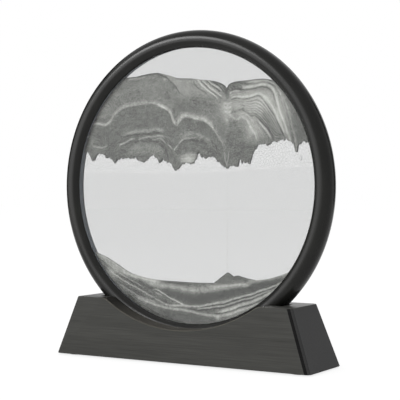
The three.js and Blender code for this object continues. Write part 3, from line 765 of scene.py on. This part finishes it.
# %% Drifts of the lower sand
lower_tones = [
    veil(-70, -18, 1.7, 0.56), veil(36, 70, 1.3, 0.47),
    band([(-71, -41.5), (-66, -44.4), (-60, -48), (-54, -51)], 0.4, -0.3),
    band([(-70, -45), (-64, -48.4), (-57, -52.4)], 0.4, -0.25),
    band([(-68, -43), (-60, -46.6), (-52, -50.4), (-44, -53), (-34, -55.2), (-22, -56.4)], 0.8, 0.24, 4),
    patch(-58, -52, 5, 4, 0.24),
    band([(-60, -50.5), (-50, -55.8), (-40, -60), (-30, -64.6), (-25, -66.6), (-20, -68.6), (-14, -70.2)],
          0.5, 0.50, 3),
    band([(-52, -58.6), (-44, -62.4), (-34, -66.6), (-24, -69)], 0.5, 0.30, 3),
    band([(-62, -46.6), (-52, -51.8), (-42, -56.4), (-33, -60.6)], 0.45, 0.34, 3),
    band([(-58, -51.6), (-48, -55), (-40, -58.4), (-32, -62.4), (-26, -65.4)], 0.6, -0.18, 4),
    band([(-54, -57), (-44, -61), (-34, -65.4)], 0.5, -0.18, 3),
    band([(-48, -53.4), (-38, -57), (-28, -60.4), (-20, -61.6)], 0.9, -0.14, 4),
    band([(-28, -66), (-21, -67.3), (-15, -68.7)], 0.8, -0.21, 2),
    band([(-27, -61), (-23, -61.4), (-20, -63), (-15, -65.6), (-10, -67.6), (-5.5, -69.3)], 0.4, 0.81, 1.5),
    band([(-26, -62.8), (-20.5, -64)], 0.4, 0.60, 1),
    band([(-34, -57), (-20, -58.6), (-8, -59.6), (0, -60), (10, -59.8), (18, -58.2), (28, -57),
          (42, -54.4)], 1.4, 0.44, 6),
    band([(8, -57.6), (18, -57.2), (26, -56.6), (36, -55)], 0.7, 0.34, 3),
    band([(-20, -56.4), (-8, -57), (2, -57.4)], 0.5, -0.18, 3),
    band([(-22, -61), (-12, -63.6), (-2, -65.6), (8, -65.2), (18, -62.4), (28, -60), (40, -57), (50, -54.3),
          (60, -50.8)], 2.4, -0.27, 6),
    band([(-16, -70), (-8, -69.8), (0, -69.6), (8, -69), (15, -67.4), (22, -65.8), (30, -63.6), (40, -60.4),
          (50, -57.2), (60, -52.6)], 0.6, 0.71, 3),
    band([(4, -70.4), (15, -68.5), (25, -66.2), (35, -63), (45, -60), (55, -56)], 0.3, -0.45, 3),
    band([(2, -71), (14, -69.6), (24, -67.3), (33, -64.6), (42, -61.7), (52, -57.6)], 0.45, 0.57, 3),
    band([(-2, -71.6), (12, -71), (22, -69), (32, -66), (42, -62.9), (52, -58.8)], 0.4, -0.33, 3),
    band([(16, -72.6), (26, -69.8), (34, -67), (40, -64.8), (48, -61.3), (57, -56.4)], 1.0, 0.74, 4),
    band([(14, -73.8), (24, -71.5), (32, -68.9), (40, -66.3), (50, -61.6)], 0.32, -0.51, 3),
    band([(-40, -65.6), (-30, -69), (-24, -70.4), (-16, -71.4), (-6, -72.3), (0, -72.9), (8, -73.8),
          (14, -74.5), (20, -74), (28, -71.8), (36, -69), (46, -64.6)], 0.75, 0.60, 3),
    patch(0, -60.6, 0.9, 0.6, 0.3), patch(17, -75.6, 1.8, 1, 0.45), patch(30, -72.5, 12, 4, 0.27),
    patch(-16, -76.5, 12, 2.5, -0.03), patch(-36, -63, 16, 6, -0.05),
]
print("bands and patches of the lower sand:", len(lower_tones))

# %% Sum of the tones
sand_tones = seam_tones + bank_tones + crest_tones + fan_tones + lower_tones


def sand_tone(x, z, depth, plain):
    """How pale the sand is, from 0 to 1, at a place and a depth below the layer's upper border."""
    tone = plain + 0.026 * mottle(x / 2.4, z / 2) + 0.02 * mottle(x / 9, depth / 0.9)
    drift = 0.18 * np.sin(0.31 * x + 0.17 * z) + 0.1 * np.sin(0.83 * x - 0.4 * z + 1)
    for spot in sand_tones:
        tone = tone + spot(x, z + drift)
    return np.clip(tone, 0, 1)


print("bands and patches:", len(sand_tones))

# %% [markdown]
# ## Sand finish
# Single grains are a third of a millimetre across. A Voronoi texture gives each its own shade and
# height, over the tone of its layer. All the sands share the group, with their own contrast.

# %% Sand material
SAND_DARK, SAND_PALE = (0.063, 0.065, 0.0615, 1), (0.56, 0.567, 0.532, 1)
GRAINS_PER_METRE, CLUMPS_PER_METRE = 2900.0, 1100.0
sand_group, given = new_group("grains_of_sand", "Shader", {
    "Tone": "Float", "Dark": "Color", "Pale": "Color", "Contrast": "Float"}, LOOK)
spot = add(sand_group, "ShaderNodeTexCoord").outputs["Object"]
grain = add(sand_group, "ShaderNodeTexVoronoi", {"Vector": spot, "Scale": GRAINS_PER_METRE})
clump = add(sand_group, "ShaderNodeTexNoise", {"Vector": spot, "Scale": CLUMPS_PER_METRE, "Detail": 4.0})
each = add(sand_group, "ShaderNodeSeparateColor", {"Color": grain.outputs["Color"]})
loose = add(sand_group, "ShaderNodeMath", {0: each, 1: clump}, operation="ADD")
vary = add(sand_group, "ShaderNodeMapRange", {
    "Value": loose, "From Min": 0.3, "From Max": 1.7, "To Min": -1.0})
part = add(sand_group, "ShaderNodeMath", {0: vary, 1: given["Contrast"]}, operation="MULTIPLY")
level = add(sand_group, "ShaderNodeMath", {0: given["Tone"], 1: part}, operation="ADD", use_clamp=True)
tint = add(sand_group, "ShaderNodeMix", {0: level, 6: given["Dark"], 7: given["Pale"]}, data_type="RGBA")
rough = add(sand_group, "ShaderNodeMapRange", {"Value": each.outputs[1], "To Min": 0.75, "To Max": 0.98})
add(sand_group, "NodeGroupOutput", {"Color": tint.outputs[2], "Roughness": rough, "Height": grain})


def sand(name, contrast):
    """A sand finish. Its tone comes from the mesh's layer_tone attribute."""
    return group_finish(name, sand_group, {"Dark": SAND_DARK, "Pale": SAND_PALE, "Contrast": contrast},
                        0.35, 0.1 * MM, 0.2, "layer_tone")


grey_sand = sand("grey_sand", 0.2)
pale_sand = sand("pale_sand", 0.24)
striped_sand = sand("striped_sand", 0.2)
dark_sand = sand("dark_sand", 0.24)
print("materials with the sands:", len(bpy.data.materials))

# %% [markdown]
# ## Sheets of sand and liquid
# A layer fills the cell from film to film, so it is a sheet of even thickness between two borders.
# A grid of columns between the lower and the upper border follows both exactly, and its fine mesh
# carries the tones. The round wall of the cell trims the ends.

# %% Sheets
FILL_HALF_DEPTH = depths("upper_sand_bank")[1]
THINNEST = 0.02


def layer_sheet(name, foot, top, left, right, finish, plain, pitch, rows):
    """A closed sheet between two borders, from left to right, trimmed by the round cell."""
    x = np.arange(left, right + pitch / 2, pitch)
    x[-1] = right
    wall = np.sqrt(np.maximum(FILL_RADIUS**2 - x**2, 0))
    low, high = np.maximum(foot(x), -wall), np.minimum(top(x), wall)
    kept = np.flatnonzero(high - low > THINNEST)
    x, low, high = (v[kept[0]:kept[-1] + 1] for v in (x, low, high))
    high = np.maximum(high, low + THINNEST)
    share = np.linspace(0, 1, rows + 1)[:, None]
    grid_x = np.broadcast_to(x, (rows + 1, len(x))).ravel()
    grid_z = (low + (high - low) * share).ravel()
    count = len(grid_x)
    points = np.concatenate([np.stack([grid_x, np.full(count, depth), grid_z], 1)
                             for depth in (-FILL_HALF_DEPTH, FILL_HALF_DEPTH)])
    k = np.arange(count).reshape(rows + 1, len(x))
    front = np.stack([k[:-1, :-1], k[:-1, 1:], k[1:, 1:], k[1:, :-1]], -1).reshape(-1, 4)
    rim = np.concatenate([k[0, :], k[1:, -1], k[-1, -2::-1], k[-2:0:-1, 0]])
    after = np.roll(rim, -1)
    edge = np.stack([after, rim, rim + count, after + count], -1)
    faces = np.concatenate([front, front[:, ::-1] + count, edge])
    mesh = bpy.data.meshes.new(name)
    mesh.from_pydata((points * MM + np.array(middle)).tolist(), [], faces.tolist())
    tones = np.tile(sand_tone(grid_x, grid_z, top(grid_x) - grid_z, plain), 2).astype(np.float32)
    mesh.attributes.new("layer_tone", "FLOAT", "POINT").data.foreach_set("value", tones)
    mesh.materials.append(finish)
    return linked(name, mesh)


def raised(line, lift):
    """A line, moved up or down."""
    return lambda x: line(x) + lift


def level_line(z):
    """A level line."""
    return lambda x: np.full_like(x, float(z))


# %% Layers
HALF_SEAM, GAP = 1.0, 0.02
WALL, BEYOND = 79, 90
LEFT_PART, RIGHT_PART, ACROSS = (-WALL, FUNNEL), (FUNNEL + GAP, WALL), (-WALL, WALL)
CONE_LEFT, CONE_FOOT, CONE_RIGHT = 12, 46.2, 48
FINE, COARSE, THIN, PLAIN = (0.25, 80), (0.32, 80), (0.32, 12), (0.32, 4)


def seam_foot(x):
    """The pale seam's lower border, which ends on the bubbles."""
    return np.maximum(seam(x) - HALF_SEAM, upper_foot(x))


def fallen_top(x):
    """The top of all the fallen sand, cone and drift together."""
    return np.maximum(lower_top(x), np.where((x > CONE_LEFT) & (x < CONE_FOOT), cone_top(x), -BEYOND))


for name, foot, top, span, finish, slot, plain, pitch_and_rows in (
    ("upper_sand_crest", raised(seam, HALF_SEAM + GAP), upper_top, LEFT_PART,
     grey_sand, "grey_sand", 0.205, COARSE),
    ("upper_sand_seam", seam_foot, raised(seam, HALF_SEAM), LEFT_PART, pale_sand, "pale_sand", 0.18, THIN),
    ("upper_sand_bank", upper_foot, raised(seam, -HALF_SEAM - GAP), LEFT_PART,
     grey_sand, "grey_sand", 0.14, FINE),
    ("upper_sand_fan", upper_foot, upper_top, RIGHT_PART, striped_sand, "striped_sand", 0.155, FINE),
    ("fallen_cone", raised(lower_top, GAP), cone_top, (CONE_LEFT, CONE_RIGHT),
     dark_sand, "dark_sand", 0.12, THIN),
    ("lower_sand_drift", raised(drift_foot, GAP), lower_top, ACROSS, dark_sand, "dark_sand", 0.165, COARSE),
    ("lower_sand_bed", level_line(-BEYOND), drift_foot, ACROSS, pale_sand, "pale_sand", 0.125, COARSE),
    ("upper_liquid", raised(upper_top, GAP), level_line(BEYOND), ACROSS, cell_liquid, "liquid", 0, PLAIN),
    ("lower_liquid", raised(fallen_top, GAP), raised(raft_foot, -GAP), ACROSS,
     cell_liquid, "liquid", 0, PLAIN),
):
    sheet = layer_sheet(f"{name}_layer", foot, top, *span, finish, plain, *pitch_and_rows)
    fitted(sheet, "round_frame", slot, name)

# %% [markdown]
# ## Raft of bubbles
# The air is a raft of flat bubbles between sand and liquid. Geometry Nodes scatter them over a
# strip between two lines, each a flattened ball of its own size, packed so that they press on each
# other. Their rims are whiter than their middles, so only the rims draw lines. A froth of much
# smaller bubbles clings to the foot of the sand, and a dull, pale clot is caught on the right.

# %% Bubble finish
bubble_skin, tree = new_finish("bubble_skin")
rim = add(tree, "ShaderNodeLayerWeight", {"Blend": 0.35})
share = add(tree, "ShaderNodeMapRange", {"Value": rim.outputs["Facing"], "To Max": 0.15})
white = add(tree, "ShaderNodeBsdfPrincipled", {"Base Color": (0.8, 0.805, 0.805, 1), "Roughness": 0.35})
open_air = add(tree, "ShaderNodeBsdfTransparent", {"Color": (1, 1, 1, 1)})
mixed = add(tree, "ShaderNodeMixShader", {0: share, 1: open_air, 2: white})
add(tree, "ShaderNodeOutputMaterial", {"Surface": mixed})
pale_clot = matt("pale_clot", 0.8)
print("materials with the bubbles:", len(bpy.data.materials))

# %% The tree that scatters balls
raft, given = new_group("raft_of_bubbles", "Geometry", {
    "Outline": "Geometry", "Spacing": "Float", "Smallest": "Float", "Largest": "Float", "Half Depth": "Float",
    "Seed": "Int", "Finish": "Material"}, {"Bubbles": "Geometry"})
spots = add(raft, "GeometryNodeDistributePointsOnFaces", {
    "Mesh": given["Outline"], "Distance Min": given["Spacing"], "Density Max": 6e6, "Seed": given["Seed"]},
    distribute_method="POISSON")
ball = add(raft, "GeometryNodeMeshIcoSphere", {"Radius": 1.0, "Subdivisions": 2})
size = add(raft, "FunctionNodeRandomValue", {
    2: given["Smallest"], 3: given["Largest"], "Seed": given["Seed"]}).outputs[1]
flat = add(raft, "ShaderNodeCombineXYZ", {"X": size, "Y": given["Half Depth"], "Z": size})
placed = add(raft, "GeometryNodeInstanceOnPoints", {
    "Points": spots.outputs["Points"], "Instance": ball.outputs["Mesh"], "Scale": flat})
whole = add(raft, "GeometryNodeRealizeInstances", {0: placed})
soft = add(raft, "GeometryNodeSetShadeSmooth", {0: whole})
dressed = add(raft, "GeometryNodeSetMaterial", {"Geometry": soft, "Material": given["Finish"]})
add(raft, "NodeGroupOutput", {"Bubbles": dressed})


def scattered(name, low, high, left, right, finish, spacing, smallest, largest, half_depth):
    """Balls scattered between two lines. All sizes are in millimetres."""
    x = np.arange(left, right + 0.1, 0.4)
    foot, top = low(x), np.maximum(high(x), low(x) + 0.2)
    points = [(a * MM, 0, b * MM + middle.z) for edge in (foot, top) for a, b in zip(x, edge)]
    count = len(x)
    outline = bpy.data.meshes.new(name)
    outline.from_pydata(points, [], [(k, k + 1, k + 1 + count, k + count) for k in range(count - 1)])
    obj = linked(name, outline)
    run_nodes(obj, raft, {
        "Spacing": spacing * MM, "Smallest": smallest * MM, "Largest": largest * MM,
        "Half Depth": half_depth * MM, "Seed": 7, "Finish": finish})
    return obj


# %% Raft, froth and clot
bubbles = scattered("bubble_raft", raised(raft_foot, 1.2), raised(upper_foot, -0.5), -77, 77, bubble_skin,
                    spacing=1.5, smallest=0.8, largest=1.5, half_depth=FILL_HALF_DEPTH - 0.03)
froth = scattered("froth", raised(upper_foot, -0.9), raised(upper_foot, 0.1), -76, 76, bubble_skin,
                  spacing=0.75, smallest=0.2, largest=0.42, half_depth=FILL_HALF_DEPTH + 0.1)
clot = scattered("clot", level_line(13.4), level_line(16), 68.8, 70.4, pale_clot,
                 spacing=0.35, smallest=0.25, largest=0.45, half_depth=0.6)
form = bmesh.new()
for index, more in ((0, bubbles), (0, froth), (1, clot)):
    count = len(form.faces)
    form.from_mesh(more.data)
    form.faces.ensure_lookup_table()
    for face in form.faces[count:]:
        face.material_index = index
for more in (froth, clot):
    bpy.data.objects.remove(more)
bubbles.data.materials.clear()
for finish in (bubble_skin, pale_clot):
    bubbles.data.materials.append(finish)
form.to_mesh(bubbles.data)
form.free()
fitted(bubbles, "round_frame", "bubbles", "bubble_layer")

# %% [markdown]
# ## Falling sand
# A thread of single grains runs from the funnel's tip to the cone. Geometry Nodes space grains
# along a line and shake each a little off it.

# %% Falling grains
fall, given = new_group("falling_grains", "Geometry", {
    "Line": "Geometry", "Count": "Int", "Spread": "Vector", "Smallest": "Float", "Largest": "Float",
    "Seed": "Int", "Finish": "Material"}, {"Grains": "Geometry"})
run = add(fall, "GeometryNodeMeshToCurve", {"Mesh": given["Line"]})
beads = add(fall, "GeometryNodeCurveToPoints", {"Curve": run, "Count": given["Count"]})
back_spread = add(fall, "ShaderNodeVectorMath", {0: given["Spread"], "Scale": -1.0}, operation="SCALE")
shake = add(fall, "FunctionNodeRandomValue", {0: back_spread, 1: given["Spread"], "Seed": given["Seed"]},
            data_type="FLOAT_VECTOR")
strewn = add(fall, "GeometryNodeSetPosition", {"Geometry": beads.outputs["Points"], "Offset": shake})
ball = add(fall, "GeometryNodeMeshIcoSphere", {"Radius": 1.0, "Subdivisions": 1})
size = add(fall, "FunctionNodeRandomValue", {
    2: given["Smallest"], 3: given["Largest"], "Seed": given["Seed"]}).outputs[1]
placed = add(fall, "GeometryNodeInstanceOnPoints", {
    "Points": strewn, "Instance": ball.outputs["Mesh"], "Scale": size})
whole = add(fall, "GeometryNodeRealizeInstances", {0: placed})
dressed = add(fall, "GeometryNodeSetMaterial", {"Geometry": whole, "Material": given["Finish"]})
add(fall, "NodeGroupOutput", {"Grains": dressed})

FALLING_TONE = 0.45
line_mesh = bpy.data.meshes.new("falling_grains")
line_mesh.from_pydata([(FUNNEL * MM, 0, thread_low.z), (FUNNEL * MM, 0, thread_high.z)], [(0, 1)], [])
thread = linked("falling_grains", line_mesh)
run_nodes(thread, fall, {
    "Count": 110, "Spread": (0.25 * MM, 0.3 * MM, 0.4 * MM), "Smallest": 0.07 * MM, "Largest": 0.15 * MM,
    "Seed": 3, "Finish": dark_sand})
thread.data.attributes.new("layer_tone", "FLOAT", "POINT").data.foreach_set(
    "value", np.full(len(thread.data.vertices), FALLING_TONE, np.float32))
fitted(thread, "round_frame", "dark_sand", "falling_sand")

# %% [markdown]
# ## Base
# The base is one block of black-stained wood that narrows upwards. The block's edges are rounded
# first. Then booleans cut the round opening in front of the picture, ease its edges and cut the slot
# that the ring stands in. Sawn faces get a browner finish than the rest, with painted shade that
# darkens them towards the top, where the ring shades them. The eased edge of the opening has a paler
# finish, a painted highlight, the top is planed smooth, and the rounded corners on the right carry
# painted shade, darkest where they turn from the front.

# %% Wood
# Painted shade: sawn faces are blended towards black near the top of the block, standing in for the ring's
# shade in the opening and the slot.
SHADE_LOW, SHADE_HIGH, PAINTED_SHADE_BLACK = 0.021, 0.033, (0.008, 0.0075, 0.007, 1)
wood_group, given = new_group("wood_grain", "Shader", {
    "Dark": "Color", "Light": "Color", "Streaks": "Float", "Smoothest": "Float", "Roughest": "Float",
    "Painted Shade": "Float"}, LOOK)
spot = add(wood_group, "ShaderNodeTexCoord").outputs["Object"]
along = add(wood_group, "ShaderNodeMapping", {"Vector": spot, "Scale": (40.0, 700.0, 1900.0)})
fibre = add(wood_group, "ShaderNodeTexNoise", {
    "Vector": along, "Scale": 1.0, "Detail": 5.0, "Roughness": 0.6, "Distortion": 0.3})
wide = add(wood_group, "ShaderNodeMapping", {"Vector": spot, "Scale": (5.0, 60.0, 130.0)})
ring_lines = add(wood_group, "ShaderNodeTexNoise", {
    "Vector": wide, "Scale": 1.0, "Detail": 3.0, "Distortion": 0.6})
mixed = add(wood_group, "ShaderNodeMix", {0: given["Streaks"], 2: ring_lines, 3: fibre})
shade = add(wood_group, "ShaderNodeMapRange", {"Value": mixed, "From Min": 0.34, "From Max": 0.66})
tint = add(wood_group, "ShaderNodeMix", {0: shade, 6: given["Dark"], 7: given["Light"]}, data_type="RGBA")
height = add(wood_group, "ShaderNodeSeparateXYZ", {0: spot})
# Painted shade: the colour darkens towards black the higher up the face is.
shade_mask = add(wood_group, "ShaderNodeMapRange", {
    "Value": height.outputs["Z"], "From Min": SHADE_LOW, "From Max": SHADE_HIGH, "To Max": given["Painted Shade"]})
shaded_tint = add(wood_group, "ShaderNodeMix", {0: shade_mask, 6: tint.outputs[2], 7: PAINTED_SHADE_BLACK}, data_type="RGBA")
rough = add(wood_group, "ShaderNodeMapRange", {
    "Value": fibre, "To Min": given["Smoothest"], "To Max": given["Roughest"]})
add(wood_group, "NodeGroupOutput", {"Color": shaded_tint.outputs[2], "Roughness": rough, "Height": mixed})


def wood(name, dark, light, streaks, bump, level, smoothest=0.6, roughest=0.8, painted_shade=0.0):
    """A wood finish with the grain along its length, and painted shade that darkens it the higher up it is.
    """
    return group_finish(name, wood_group, {
        "Dark": (*dark, 1), "Light": (*light, 1), "Streaks": streaks, "Smoothest": smoothest,
        "Roughest": roughest, "Painted Shade": painted_shade}, bump, 0.3 * MM, level)


STAINED, SAWN, END, SHADED_CORNER, LIT_EDGE, PLANED, HALF_SHADED_CORNER = range(7)
wood_finishes = [
    wood("black_stained_wood", (0.0215, 0.0215, 0.0195), (0.041, 0.0408, 0.0375), 0.7, 0.08, 0.15),
    # Sawn faces: browner wood, with painted shade towards the top.
    wood("sawn_wood", (0.036, 0.0345, 0.031), (0.056, 0.0525, 0.046), 0.5, 0.2, 0.05, painted_shade=0.85),
    wood("end_grain", (0.04, 0.04, 0.0405), (0.05, 0.05, 0.05), 0.9, 0.06, 0.12),
    # Painted shade on the rounded corners on the right, darkest part of the round.
    wood("painted_shade_corner", (0.004, 0.004, 0.004), (0.008, 0.008, 0.008), 0.8, 0.05, 0.04),
    # Painted highlight: a paler finish along the eased edge of the opening, where it catches the light.
    wood("painted_highlight_edge", (0.036, 0.035, 0.03), (0.066, 0.063, 0.053), 0.6, 0.1, 0.1),
    wood("planed_top", (0.0255, 0.0255, 0.0235), (0.037, 0.0368, 0.034), 0.8, 0.03, 0.35, 0.32, 0.42),
    # Painted shade on the rest of those rounded corners, lighter towards the end.
    wood("painted_half_shade_corner", (0.02, 0.02, 0.02), (0.03, 0.03, 0.03), 0.8, 0.05, 0.1),
]
print("wood finishes:", len(wood_finishes))

# %% Rounded block
FOOT_Z, TOP_Z = (corner.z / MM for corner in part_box("base_block"))
HALF_LENGTH, HALF_TOP_LENGTH, HALF_BASE_DEPTH, HALF_TOP_DEPTH = 84.75, 72.3, 20.15, 16.15
EDGE_RADIUS, CORNER_RADIUS = 0.5, 3


def mesh_object(name, form):
    """A bmesh as an object, with its faces outwards."""
    bmesh.ops.recalc_face_normals(form, faces=form.faces)
    mesh = bpy.data.meshes.new(name)
    form.to_mesh(mesh)
    form.free()
    return linked(name, mesh)


def prism(near, far):
    """A solid between two outlines that have as many points, as a bmesh."""
    form = bmesh.new()
    sides = [[form.verts.new(Vector(point) * MM) for point in outline] for outline in (near, far)]
    form.faces.new(sides[0])
    form.faces.new(sides[1][::-1])
    for k in range(len(near)):
        after = (k + 1) % len(near)
        form.faces.new((sides[0][k], sides[1][k], sides[1][after], sides[0][after]))
    return form


def upright(edge):
    """Whether an edge runs up the block."""
    return abs(edge.verts[0].co.z - edge.verts[1].co.z) > 1 * MM


form = prism(*([(x * length, y * depth, z) for x, y in SQUARE] for length, depth, z in (
    (HALF_TOP_LENGTH, HALF_TOP_DEPTH, TOP_Z), (HALF_LENGTH, HALF_BASE_DEPTH, FOOT_Z))))
for up, radius, steps in ((True, CORNER_RADIUS, 8), (False, EDGE_RADIUS, 4)):
    bmesh.ops.bevel(form, geom=[edge for edge in form.edges if upright(edge) == up], offset=radius * MM,
                    segments=steps, profile=0.5, affect="EDGES")
base = mesh_object("wooden_base", form)
for finish in wood_finishes:
    base.data.materials.append(finish)
print("block:", len(base.data.polygons), "faces")

# %% Opening and slot
CUT_RADIUS, CUT_HEIGHT, CUT_FILLET, EASE = 90.7, middle.z / MM + 8.9, 8, 0.5
SLOT_RADIUS, SLOT_HALF_WIDTH, CUT_REACH = 90.3, 6.5, 40
QUARTER = math.pi / 2
fillet_z = TOP_Z - CUT_FILLET
fillet_x = math.sqrt((CUT_RADIUS + CUT_FILLET) ** 2 - (CUT_HEIGHT - fillet_z) ** 2)
swing = math.atan2(fillet_x, CUT_HEIGHT - fillet_z)


def arc(x0, z0, radius, start, end, steps):
    """Points on an arc, with its angles from the right."""
    angles = np.linspace(start, end, steps + 1)
    return [(x0 + radius * math.cos(a), z0 + radius * math.sin(a)) for a in angles]


def opening_outline(depth, wider=0.0, sloped=0.0):
    """The opening's outline at a depth, wider all round. Its plane leans as the front does if sloped is 1."""
    flat = [(-fillet_x, CUT_HEIGHT),
            *arc(-fillet_x, fillet_z, CUT_FILLET - wider, QUARTER, QUARTER - swing, 16),
            *arc(0, CUT_HEIGHT, CUT_RADIUS + wider, -QUARTER - swing, -QUARTER + swing, 120)[1:-1],
            *arc(fillet_x, fillet_z, CUT_FILLET - wider, QUARTER + swing, QUARTER, 16),
            (fillet_x, CUT_HEIGHT)]
    lean = sloped * (HALF_BASE_DEPTH - HALF_TOP_DEPTH) / (TOP_Z - FOOT_Z)
    return [(x, depth - math.copysign(lean * (z - FOOT_Z), depth), z) for x, z in flat]


eased_in, eased_out = HALF_BASE_DEPTH - EASE, HALF_BASE_DEPTH + EASE
slot_circle = arc(0, middle.z / MM, SLOT_RADIUS, 0, 2 * math.pi, 288)[:-1]
cutters = [mesh_object(name, prism(near, far)) for name, near, far in (
    ("opening", opening_outline(-CUT_REACH), opening_outline(CUT_REACH)),
    ("near_ease", opening_outline(-eased_out, 2 * EASE, 1), opening_outline(-eased_in, 0, 1)),
    ("far_ease", opening_outline(eased_in, 0, 1), opening_outline(eased_out, 2 * EASE, 1)),
    ("slot_disc", *([(x, y, z) for x, z in slot_circle] for y in (-SLOT_HALF_WIDTH, SLOT_HALF_WIDTH))),
)]
cut_away(base, *cutters)
for cutter in cutters:
    bpy.data.objects.remove(cutter)


# %% Finishes of the base's faces
def wood_finish(face):
    """Which finish a face of the base has, by its place and the way it faces."""
    x, y, z = face.center / MM
    across, deep, up = face.normal
    off_cut = min(abs(math.hypot(x, z - CUT_HEIGHT) - CUT_RADIUS),
                  abs(math.hypot(abs(x) - fillet_x, z - fillet_z) - CUT_FILLET))
    in_slot = abs(y) < SLOT_HALF_WIDTH + 0.05 and math.hypot(x, z - middle.z / MM) < SLOT_RADIUS + 0.05
    # The eased edge of the opening gets a painted highlight.
    on_lit_edge = off_cut < 0.6 and 0.3 <= abs(deep) < 0.96 and abs(x) < fillet_x
    if in_slot or (off_cut < 0.3 and abs(deep) < 0.3):
        return SAWN
    # Painted shade: the right-hand rounded corners are darkest where they turn from the front, lighter
    # towards the end.
    if 0.08 < across < 0.85 and abs(up) < 0.5 and abs(deep) > 0.2 and not on_lit_edge:
        return SHADED_CORNER if across < 0.52 else HALF_SHADED_CORNER
    if abs(across) >= 0.6:
        return END
    return LIT_EDGE if on_lit_edge else PLANED if up > 0.95 else STAINED


for face in base.data.polygons:
    face.material_index = wood_finish(face)
face_outwards(base.data, 28)
fitted(base, "base", "stained_wood", "base_block")

# %% [markdown]
# ## Foot pads
# Thin foam pads under the corners keep the base from sliding. They are turned like the ring, about
# an upright axis.

# %% Pads
PAD_SECTION = [(0, 0), (5.8, 0), (6, 0.15), (6, 0.65), (5.85, 0.8), (0, 0.8)]
for number in range(1, 5):
    low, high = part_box(f"foot_pad_{number}")
    place = ((low.x + high.x) / 2, (low.y + high.y) / 2, 0)
    pad = turned(f"foam_pad_{number}", PAD_SECTION, black_foam, 64, (math.pi, 0, 0), place)
    fitted(pad, "base", "foam", f"foot_pad_{number}")
